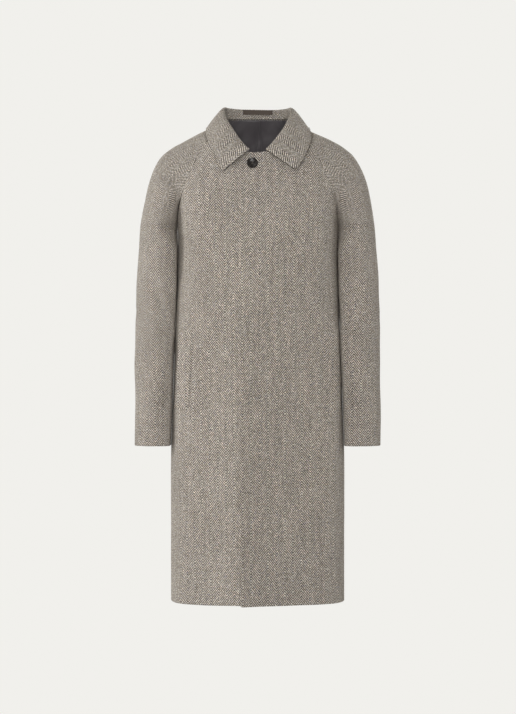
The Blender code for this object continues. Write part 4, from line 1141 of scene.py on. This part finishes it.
def label_tape():
    n = Nodes("brown_label")
    across, along = n.cloth_uv()[1:]
    rib = n.math("ABSOLUTE", n.minus(n.math("FRACT", n.per(along, LABEL_RIB)), 0.5))
    yarn = n.noise(n.stretched(across, along, LABEL_SCALES), 1.0, 2.0, 0.6)
    return n.shaded({
        "Base Color": n.mix(yarn, LABEL_DARK, LABEL_LIGHT),
        "Roughness": n.band(yarn, 0.2, 0.8, 0.55, 0.75),
        "Sheen Weight": 0.2,
        "Normal": n.bump(rib, 0.00015, 0.6),
    })


def horn():
    n = Nodes("dark_button")
    place = n.object_place()
    cloud = n.noise(place, 210.0, 4.0, 0.65)
    inputs = {"Vector": place, "Scale": 90.0, "Distortion": 9.0, "Detail": 3.0}
    streak = n.node("ShaderNodeTexWave", inputs).outputs["Fac"]
    base = n.mix(n.band(cloud, 0.35, 0.7), HORN_DARK, HORN_LIGHT)
    return n.shaded({
        "Base Color": n.mix(n.times(streak, 0.35), base, HORN_STREAK),
        "Specular IOR Level": 0.45,
        "Roughness": n.band(cloud, 0.3, 0.7, 0.20, 0.32),
        "Normal": n.bump(cloud, 0.0001, 0.3),
    })


def sewing_thread():
    n = Nodes("wool_thread")
    ply = n.noise(n.object_place(), 1800.0, 2.0, 0.5)
    return n.shaded({
        "Base Color": n.mix(ply, THREAD_DARK, THREAD_LIGHT),
        "Roughness": n.band(ply, 0.2, 0.8, THREAD_ROUGH - 0.1, THREAD_ROUGH),
        "Sheen Weight": 0.3,
        "Normal": n.bump(ply, 0.0002, 0.5),
    })


# ---------------------------------------------------------------- grids
def graded(length, step, first, last, marks=()):
    """Places along a length: even steps, closer at both ends and round each mark."""
    low = np.array(SIDE_OFFSETS[first])
    high = length - np.array(SIDE_OFFSETS[last])
    count = max(2, round((high.min() - low.max()) / step))
    even = np.linspace(low.max(), high.min(), count + 1)
    dense = [mark + offset for mark in marks for offset in MARK_OFFSETS]
    for mark in marks:
        even = even[np.abs(even - mark) > MARK_OFFSETS[-1] + step / 3]
    return np.unique(np.round(np.concatenate([low, high, even, dense]), 6))


def grid(plan, sides):
    """Shares across and along a panel at which its shell has points. sides says what lies at
    its first and last column, then at its first and last row."""
    (width, length), (across, along) = plan
    u = graded(width, across, *sides[:2]) / width
    v = graded(length, along, *sides[2:]) / length
    return u, v


def rounded_corner(u, v, corner, size):
    """Draws the grid's square corner in to a quarter ellipse of this size, in shares."""
    beside = np.clip(1 - np.abs(u - corner[0]) / size[0], 0, 1)
    above = np.clip(1 - np.abs(v - corner[1]) / size[1], 0, 1)
    new_beside = beside * np.sqrt(1 - above * above / 2)
    new_above = above * np.sqrt(1 - beside * beside / 2)
    sign_u, sign_v = (1 if at < 0.5 else -1 for at in corner)
    return u + sign_u * (beside - new_beside) * size[0], v + sign_v * (above - new_above) * size[1]


def running(points, axis, keep=(1, 1, 1)):
    """Length run along a grid's rows or columns, over the kept directions."""
    steps = np.linalg.norm(np.diff(points, axis=axis) * np.array(keep), axis=-1)
    start = np.zeros_like(np.take(steps, [0], axis=axis))
    return np.concatenate([start, np.cumsum(steps, axis=axis)], axis=axis)


# ---------------------------------------------------------------- relief of the cloth
def soft_noise(points):
    """Slow unevenness, from a few crossed waves of set lengths."""
    x, y, z = np.moveaxis(points, -1, 0)
    total = np.zeros_like(x)
    for wave_x, wave_y, wave_z, shift, size in UNEVEN_WAVES:
        total = total + size * np.sin(wave_x * x + wave_y * y + wave_z * z + shift)
    return total


def leaf_line(part, side):
    """x and z of points along the outer edge or the front end of one leaf of the collar."""
    share = np.linspace(0, 1, LEAF_LINE)
    if part == "edge":
        half = (1 + side * share) / 2
        line = collar_surface(half, np.ones_like(share))
    else:
        down = LEAF_END_FROM + (1 - LEAF_END_FROM) * share
        line = collar_surface(np.full_like(share, (1 + side) / 2), down)
    return line[line[:, 1] < 0][:, [0, 2]]


def under_collar(points):
    """How far the cloth sinks in under the collar's edges, which press on it."""
    low, high = np.array(LEAF_BOX)
    flat = points[..., [0, 2]]
    close = ((flat > low) & (flat < high)).all(axis=-1) & (points[..., 1] < 0)
    total = np.zeros(points.shape[:-1])
    for part, side, depth in LEAF_SINKS:
        away = np.linalg.norm(flat[close][:, None] - leaf_line(part, side), axis=-1).min(axis=1)
        total[close] = np.maximum(total[close], depth * bell(away, LEAF_SINK_SOFT))
    return total


def creases(points, node):
    """How far the soft creases of a piece lift or sink each point."""
    total = np.zeros(points.shape[:-1])
    for pieces, start, end, width, stands in CREASES:
        if not node.startswith(pieces):
            continue
        way = np.array(end) - start
        run = (points - start) @ way / (way @ way)
        off = np.linalg.norm(points - start - np.clip(run, 0, 1)[..., None] * way, axis=-1)
        ends = smooth_step(*CREASE_ENDS, run) * smooth_step(*CREASE_ENDS, 1 - run)
        total = total + stands * ends * bell(off, width)
    return total


def at_sides(node, base, near, borders, wall):
    """How far the cloth is sunk and rounded in near a shell's sides, and its thickness there."""
    sunk = np.zeros_like(near["u0"])
    round_in = np.zeros_like(sunk)
    thick = np.full_like(sunk, wall)
    for side, (kind, *sizes) in borders.items():
        away = near[side]
        if kind == "seam":
            shown = 1 - (1 - sizes[0]) * (1 - smooth_step(*SEAM_FADE, base[..., 2]))
            sunk = sunk + SEAM_SINK * shown * bell(away, SEAM_SOFT)
            if node.startswith("sleeve"):
                away = away / ARM_ROUND_AT
                sunk = sunk + ARM_ROUND * (1 - shown) * away * np.exp(1 - away)
        elif kind == "flush":
            depth, rise = sizes
            sunk = sunk + depth * (1 - smooth_step(0.0, rise, away))
        else:
            edge, turned_in = sizes
            inside = smooth_step(turned_in, turned_in + EDGE_TAPER, away)
            thick = np.maximum(thick, wall + (edge - wall) * (1 - inside))
            radius = edge / 2
            part = np.clip(away / radius, 0, 1)
            rounded = EDGE_ROUND * radius * (1 - np.sqrt(1 - (1 - part) ** 2))
            round_in = np.maximum(round_in, rounded)
    return sunk, round_in, thick


# ---------------------------------------------------------------- fine shells
def new_piece(name, mesh):
    piece = bpy.data.objects.new(name, mesh)
    bpy.context.scene.collection.objects.link(piece)
    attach(piece, "root")
    return piece


def wall_faces(index, offset, outward):
    """Faces of a closed wall: its outer grid, its inner one, whose points come offset later, and
    the rim between them."""
    front = np.stack([index[:-1, :-1], index[:-1, 1:], index[1:, 1:], index[1:, :-1]], axis=-1)
    front = front.reshape(-1, 4)
    border = np.concatenate([index[0, :-1], index[:-1, -1], index[-1, :0:-1], index[:0:-1, 0]])
    ahead = np.roll(border, -1)
    rim = np.stack([ahead, border, border + offset, ahead + offset], axis=-1)
    turned_over = [0, 3, 2, 1]
    faces = np.concatenate([front, front[:, turned_over] + offset, rim])
    return front, faces[:, turned_over] if outward < 0 else faces


def shell(node, surface, grid_shares, wall, outward, borders, materials, cloth_uv, grooves=()):
    """A fine closed wall of cloth in place of a CAD node.

    borders says what each of SIDES is. cloth_uv(points, beside, above) gives the weave's place.
    grooves are (side, distance, from_z)."""
    borders = dict(zip(SIDES, borders))
    grid_u, grid_v = np.meshgrid(*grid_shares)
    base = surface(grid_u, grid_v)
    normal = surface_normal(surface, grid_u, grid_v) * outward
    beside = running(base, 1)
    above = running(base, 0)
    near = dict(zip(SIDES, (beside, beside[:, -1:] - beside, above, above[-1:] - above)))
    sunk, round_in, thick = at_sides(node, base, near, borders, wall)
    for side, distance, low_z in grooves:
        off = near[side] - distance
        shown = smooth_step(low_z, low_z + GROOVE_FADE, base[..., 2])
        sunk = sunk + GROOVE_DEPTH * shown * bell(off, GROOVE_SOFT)
    wave = UNEVEN * soft_noise(base) + creases(base, node)
    if node.startswith(("front", "sleeve")):
        sunk = sunk + under_collar(base)
    below = 1 - smooth_step(*CALM_FADE, base[..., 2])
    for side, (kind, *sizes) in borders.items():
        if kind == "seam" and sizes[0] < 1:
            wave = wave * (1 - below * bell(near[side], SIDE_CALM))
    outer = base - normal * (sunk + round_in - wave)[..., None]
    inner_depth = np.maximum(thick - round_in - wave, sunk + round_in + LEAST_WALL - wave)
    inner = base - normal * inner_depth[..., None]
    points = np.concatenate([outer.reshape(-1, 3), inner.reshape(-1, 3)])
    index = np.arange(grid_u.size).reshape(grid_u.shape)
    front, faces = wall_faces(index, grid_u.size, outward)
    mesh = bpy.data.meshes.new(node + "_cloth")
    mesh.from_pydata(points.tolist(), [], faces.tolist())

    weave = np.stack(cloth_uv(base, beside, above), axis=-1).reshape(-1, 2)
    weave = np.concatenate([weave, weave])
    layer = mesh.uv_layers.new(name="cloth")
    corners = np.empty(len(mesh.loops), np.int32)
    mesh.loops.foreach_get("vertex_index", corners)
    layer.data.foreach_set("uv", weave[corners].ravel())
    for material in materials:
        mesh.materials.append(material)
    if len(materials) > 1:
        # the cloth turns in round the edges; the lining starts where it ends
        lined = np.ones(len(front), bool)
        for side, (kind, *sizes) in borders.items():
            if kind == "edge":
                lined &= near[side].reshape(-1)[front].mean(axis=1) > sizes[1]
        finish = np.zeros(len(faces), np.int32)
        finish[len(front): 2 * len(front)] = lined
        mesh.polygons.foreach_set("material_index", finish)
    mesh.shade_smooth()
    piece = new_piece(node + "_cloth", mesh)
    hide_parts(node)
    return piece


# ---------------------------------------------------------------- sewing
def add_tube(built, rings):
    """Closes rings of corners, one after another, into a solid thread."""
    for first, second in zip(rings, rings[1:]):
        for corner in range(len(first)):
            following = (corner + 1) % len(first)
            built.faces.new((first[corner], first[following], second[following], second[corner]))
    built.faces.new(rings[0][::-1])
    built.faces.new(rings[-1])


def sewn(name, built, material):
    """The built threads as one piece."""
    bmesh.ops.recalc_face_normals(built, faces=built.faces)
    mesh = bpy.data.meshes.new(name)
    built.to_mesh(mesh)
    built.free()
    mesh.shade_smooth()
    mesh.materials.append(material)
    return new_piece(name, mesh)


def stitches(name, surface, places, outward, material):
    """A row of sewn stitches: short plump threads lying on a surface at places (u, v)."""
    u, v = np.array(places).T
    points = surface(u, v)
    normals = surface_normal(surface, u, v) * outward
    run = np.concatenate([[0], np.cumsum(np.linalg.norm(np.diff(points, axis=0), axis=1))])
    count = int(run[-1] / STITCH_PITCH)
    centres = (np.arange(count) + 0.5) * run[-1] / count

    def on_row(values, at):
        return np.array([np.interp(at, run, values[:, axis]) for axis in range(3)])

    built = bmesh.new()
    for centre in centres:
        start = on_row(points, centre - STITCH_LENGTH / 2)
        end = on_row(points, centre + STITCH_LENGTH / 2)
        up = unit(on_row(normals, centre))
        side = np.cross(up, unit(end - start))
        rings = []
        for part, size, rise in STITCH_RINGS:
            middle = start + (end - start) * part + up * (STITCH_LIFT + rise * STITCH_HALF_WIDTH)
            ring = []
            for turn in np.arange(STITCH_SIDES) * 2 * math.pi / STITCH_SIDES:
                spoke = side * math.cos(turn) + up * math.sin(turn)
                ring.append(built.verts.new(middle + spoke * STITCH_HALF_WIDTH * size))
            rings.append(ring)
        add_tube(built, rings)
    sewn(name, built, material)


def fine_button(sewing):
    """The turned button with a rounded rim, a dished middle and four sewn holes."""
    collection = bpy.context.scene.collection
    piece = button(horn(), collection)
    sewing_holes(piece, collection)
    bpy.context.view_layer.update()
    graph = bpy.context.evaluated_depsgraph_get()
    mesh = bpy.data.meshes.new_from_object(piece.evaluated_get(graph))
    piece.modifiers.clear()
    piece.data = mesh
    mesh.shade_smooth()
    mesh.set_sharp_from_angle(angle=math.radians(BUTTON_SHARP))
    bpy.data.objects.remove(bpy.data.objects["button_hole_cutter"])
    bevel = piece.modifiers.new("soft", "BEVEL")
    bevel.width = BUTTON_BEVEL
    bevel.segments = 2
    bevel.limit_method = "ANGLE"
    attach(piece, "root")
    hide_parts("neck_button")
    button_thread(piece.matrix_world.copy(), sewing)


def button_thread(place, sewing):
    """Two bars of thread between the holes, and the shank under the button."""
    built = bmesh.new()
    reach = BUTTON_HOLE_OFFSET * math.cos(math.radians(45))
    for offset in (-reach, reach):
        for shift in BAR_THREADS:
            rings = []
            for part in np.linspace(-1, 1, BAR_RINGS):
                x = part * (reach + BAR_OVERHANG)
                sinks = max(0.0, abs(part) - BAR_SINKS_FROM) / (1 - BAR_SINKS_FROM)
                rise = BAR_HEIGHT + BAR_BOW * (1 - part * part) - BAR_HEIGHT * sinks
                ring = []
                for turn in np.arange(BAR_THREAD_SIDES) * 2 * math.pi / BAR_THREAD_SIDES:
                    y = offset + shift + BAR_THREAD_RADIUS * math.cos(turn)
                    z = rise + BAR_THREAD_RADIUS * math.sin(turn)
                    ring.append(built.verts.new(place @ Vector((x, y, z))))
                rings.append(ring)
            add_tube(built, rings)
    bmesh.ops.create_cone(built, cap_ends=True, segments=16, radius1=SHANK_RADII[0],
                          radius2=SHANK_RADII[1], depth=SHANK_LENGTH,
                          matrix=place @ Matrix.Translation((0, 0, SHANK_MIDDLE)))
    sewn("button_thread", built, sewing)


# ---------------------------------------------------------------- the weave's place on each piece
HEIGHTS = np.linspace(HEM_Z, BODY_SECTIONS[-1][0], 200)
FRONT_LINE = np.stack([HEIGHTS * 0, table_at(BODY_SECTIONS, HEIGHTS)[..., 1], HEIGHTS], axis=-1)
BODY_LENGTHS = running(FRONT_LINE[None], 1)[0]


def body_uv(points, beside, above):
    """Stripes run straight up and down, counted from the middle of the body."""
    flat = running(points, 1, (1, 1, 0))
    middle = []
    for row_x, row_run in zip(points[..., 0], flat):
        order = np.argsort(row_x)
        middle.append(np.interp(0.0, row_x[order], row_run[order]))
    sign = np.where(points[:, -1:, 0] > points[:, :1, 0], 1.0, -1.0)
    along = np.interp(points[..., 2], HEIGHTS, BODY_LENGTHS)
    return (flat - np.array(middle)[:, None]) * sign + STRIPE_SHIFT, along


def welt_uv(points, beside, above):
    along = np.interp(points[..., 2], HEIGHTS, BODY_LENGTHS)
    return points[..., 0] * WELT_STRIPES + STRIPE_SHIFT, along


def sleeve_uv(points, beside, above):
    """Stripes run down the sleeve, counted from the seam along its outside."""
    return beside[:, -1:] - beside + STRIPE_SHIFT, np.broadcast_to(-above[:, -1:], beside.shape)


def plain_uv(points, beside, above):
    return beside, above


def collar_uv(points, beside, above):
    """Stripes run square to the fold, counted from the middle of the back."""
    row = round(COLLAR_WEAVE_ROW * (beside.shape[0] - 1))
    around = beside[row] - beside[row, beside.shape[1] // 2]
    return np.broadcast_to(around[None, :], beside.shape), above


# ---------------------------------------------------------------- the coat
def front_u(position, total):
    """Share of a front's width at this distance from its edge."""
    lap = 2 * FRONT_EDGE_X
    return np.where(position < lap, position / lap * LAP_SHARE,
                    LAP_SHARE + (position - lap) / (total - lap) * (1 - LAP_SHARE))


def front_shell(side, mirror, wool, satin, sewing):
    """One front. The left one laps over, and carries the fly's row of stitches."""
    laps = mirror > 0

    def front_face(u, v):
        if laps:
            u, v = rounded_corner(u, v, (0.0, 1.0), FRONT_TOP_CORNER)
        u, v = rounded_corner(u, v, (0.0, 0.0), FRONT_FOOT_CORNER)
        return front_surface(u, v, laps, mirror)

    (width, length), (across, along) = FRONT_GRID
    marks = (FLY_STITCH,) if laps else ()
    u = front_u(graded(width, across, "edge", "seam", marks), width)
    v = np.union1d(graded(length, along, "edge", "seam") / length, np.linspace(*FRONT_CLOSE_ROWS))
    edge = LEFT_FRONT_EDGE if laps else RIGHT_FRONT_EDGE
    borders = (("edge", edge, FRONT_TURNED), SIDE_SEAM, ("edge", edge, FRONT_HEM), THIN_EDGE)
    grooves = [("u0", FLY_STITCH, FLY_STITCH_FOOT)] if laps else []
    face = off_seams(front_face, 0.0, SHELL_GAP)
    piece = shell("front_" + side, face, (u, v), CLOTH, mirror, borders, (wool, satin), body_uv,
                  grooves)
    if laps:
        stitch_u = float(front_u(np.array(FLY_STITCH), width))
        places = [(stitch_u, part) for part in np.linspace(*FLY_STITCH_PATH)]
        stitches("fly_stitching", face, places, mirror, sewing)
    return piece


def welt_shell(side, mirror, wool):
    def welt_face(u, v):
        return welt_surface(u, v, mirror)

    shares = grid(WELT_GRID, ("edge",) * 4)
    end = ("flush", WELT_FLUSH, WELT_END_RISE)
    borders = (("flush", WELT_FLUSH, WELT_RISE), THIN_EDGE, end, end)
    return shell("pocket_welt_" + side, welt_face, shares, WELT_CLOTH, mirror, borders, (wool,),
                 welt_uv)


def sleeve_shell(node, mirror, on_front, wool, satin):
    def sleeve_face(u, v):
        return sleeve_surface(u, v, on_front, mirror)

    u, v = grid(SLEEVE_GRID, ("seam", "seam", "seam", "edge"))
    v = np.union1d(v, np.linspace(*SLEEVE_CLOSE_ROWS))
    borders = (UNDERARM_SEAM, WHOLE_SEAM, WHOLE_SEAM, CUFF_EDGE)
    face = off_seams(sleeve_face, SHELL_GAP, SHELL_GAP)
    outward = -mirror if on_front else mirror
    return shell(node, face, (u, v), CLOTH, outward, borders, (wool, satin), sleeve_uv)


def back_shell(wool, satin):
    shares = grid(BACK_GRID, ("seam", "seam", "edge", "seam"))
    borders = (SIDE_SEAM, SIDE_SEAM, BACK_HEM, WHOLE_SEAM)
    face = off_seams(back_surface, SHELL_GAP, SHELL_GAP)
    return shell("back", face, shares, CLOTH, -1, borders, (wool, satin), body_uv)


def collar_shell(wool, sewing):
    """The collar, with the row of stitches along its edge."""
    def collar_face(u, w):
        u, w = rounded_corner(u, w, (1.0, 1.0), LEFT_COLLAR_CORNER)
        u, w = rounded_corner(u, w, (0.0, 1.0), RIGHT_COLLAR_CORNER)
        return collar_surface(u, w)

    shares = grid(COLLAR_GRID, ("edge", "edge", "seam", "edge"))
    borders = (COLLAR_END, COLLAR_END, WHOLE_SEAM, COLLAR_EDGE)
    piece = shell("collar", collar_face, shares, COLLAR_CLOTH, 1, borders, (wool,), collar_uv,
                  [("v1", COLLAR_STITCH, COLLAR_STITCH_FOOT)])
    stitch_w = 1 - COLLAR_STITCH / COLLAR_GRID[0][1]
    places = [(part, stitch_w) for part in np.linspace(*COLLAR_STITCH_PATH)]
    stitches("collar_stitching", collar_face, places, 1, sewing)
    return piece


def lining_shell(satin):
    """The lining inside the upper back, with closer columns along its pleat."""
    width = LINING_GRID[0][0]
    u, v = grid(LINING_GRID, ("edge", "edge", "edge", "seam"))
    u = np.union1d(u, 0.5 + PLEAT_X / width + np.linspace(*PLEAT_CLOSE_COLUMNS) / width)
    borders = (("edge", LINING, LINING_TURNED),) * 4
    return shell("back_lining", lining_surface, (u, v), LINING, 1, borders, (satin,), plain_uv)


def label_shell(tape):
    shares = grid(LABEL_GRID, ("edge",) * 4)
    borders = (("edge", LABEL_CLOTH, LINING_TURNED),) * 4
    return shell("neck_label", label_surface, shares, LABEL_CLOTH, 1, borders, (tape,), plain_uv)


def dress():
    """Dresses every CAD node, and returns the pieces of cloth by their nodes."""
    wool = tweed()
    satin = lining_satin()
    tape = label_tape()
    sewing = sewing_thread()
    pieces = {}
    for side, mirror in (("left", 1), ("right", -1)):
        pieces["front_" + side] = front_shell(side, mirror, wool, satin, sewing)
        pieces["pocket_welt_" + side] = welt_shell(side, mirror, wool)
        for part in ("front", "back"):
            node = "sleeve_" + side + "_" + part
            pieces[node] = sleeve_shell(node, mirror, part == "front", wool, satin)
    pieces["back"] = back_shell(wool, satin)
    pieces["collar"] = collar_shell(wool, sewing)
    pieces["back_lining"] = lining_shell(satin)
    pieces["neck_label"] = label_shell(tape)
    fine_button(sewing)
    return pieces


# ---------------------------------------------------------------- studio
def look_at(thing, place, target):
    thing.location = place
    thing.rotation_euler = (Vector(target) - Vector(place)).to_track_quat("-Z", "Y").to_euler()


def place_camera(scene):
    camera = bpy.data.objects.new("camera", bpy.data.cameras.new("camera"))
    scene.collection.objects.link(camera)
    camera.data.sensor_fit = "HORIZONTAL"
    camera.data.sensor_width = CAMERA_SENSOR
    camera.data.lens = CAMERA_LENS
    camera.data.clip_end = CAMERA_REACH
    look_at(camera, CAMERA_PLACE, (CAMERA_PLACE[0], 0.0, CAMERA_PLACE[2]))
    scene.camera = camera


def place_lamps(scene):
    for name, around, up, power in LIGHTS:
        lamp = bpy.data.lights.new(name, "AREA")
        lamp.shape = "DISK"
        lamp.size = LAMP_SIZE
        lamp.energy = power
        thing = bpy.data.objects.new(name, lamp)
        scene.collection.objects.link(thing)
        around = math.radians(around)
        up = math.radians(up)
        level = math.cos(up)
        way = Vector((math.sin(around) * level, -math.cos(around) * level, math.sin(up)))
        look_at(thing, Vector(LIGHT_TARGET) + way * LAMP_REACH, LIGHT_TARGET)


def backdrop(scene):
    """A backdrop that the camera sees at full brightness, and that lights the coat less."""
    world = bpy.data.worlds.new("studio")
    scene.world = world
    world.use_nodes = True
    tree = world.node_tree
    background = tree.nodes["Background"]
    background.inputs["Color"].default_value = (*BACKDROP, 1.0)
    seen = tree.nodes.new("ShaderNodeLightPath").outputs["Is Camera Ray"]
    strength = tree.nodes.new("ShaderNodeMapRange")
    strength.inputs["To Min"].default_value = AMBIENT
    tree.links.new(seen, strength.inputs["Value"])
    tree.links.new(strength.outputs["Result"], background.inputs["Strength"])


def floor(scene):
    """A round floor of the backdrop's own brightness."""
    pale = Nodes("pale_floor").shaded({
        "Base Color": (0.0, 0.0, 0.0, 1.0),
        "Specular IOR Level": 0.0,
        "Emission Color": (*BACKDROP, 1.0),
        "Emission Strength": 1.0,
    })
    mesh = bpy.data.meshes.new("floor")
    built = bmesh.new()
    bmesh.ops.create_circle(built, cap_ends=True, segments=FLOOR_STEPS, radius=FLOOR_RADIUS)
    built.to_mesh(mesh)
    built.free()
    mesh.materials.append(pale)
    ground = bpy.data.objects.new("floor", mesh)
    scene.collection.objects.link(ground)
    ground.location = (0.0, 0.0, FLOOR_Z)
    ground.visible_diffuse = False
    ground.visible_glossy = False


def studio():
    scene = bpy.context.scene
    scene.view_settings.view_transform = "Standard"
    scene.view_settings.look = "None"
    place_camera(scene)
    place_lamps(scene)
    backdrop(scene)
    floor(scene)


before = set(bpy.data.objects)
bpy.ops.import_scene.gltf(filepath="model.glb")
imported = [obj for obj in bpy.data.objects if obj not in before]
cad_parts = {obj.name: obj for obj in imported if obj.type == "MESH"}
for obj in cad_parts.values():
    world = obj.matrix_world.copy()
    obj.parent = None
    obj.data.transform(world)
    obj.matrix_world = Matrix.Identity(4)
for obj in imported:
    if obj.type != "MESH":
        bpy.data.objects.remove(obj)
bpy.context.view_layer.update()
pieces = dress()
studio()
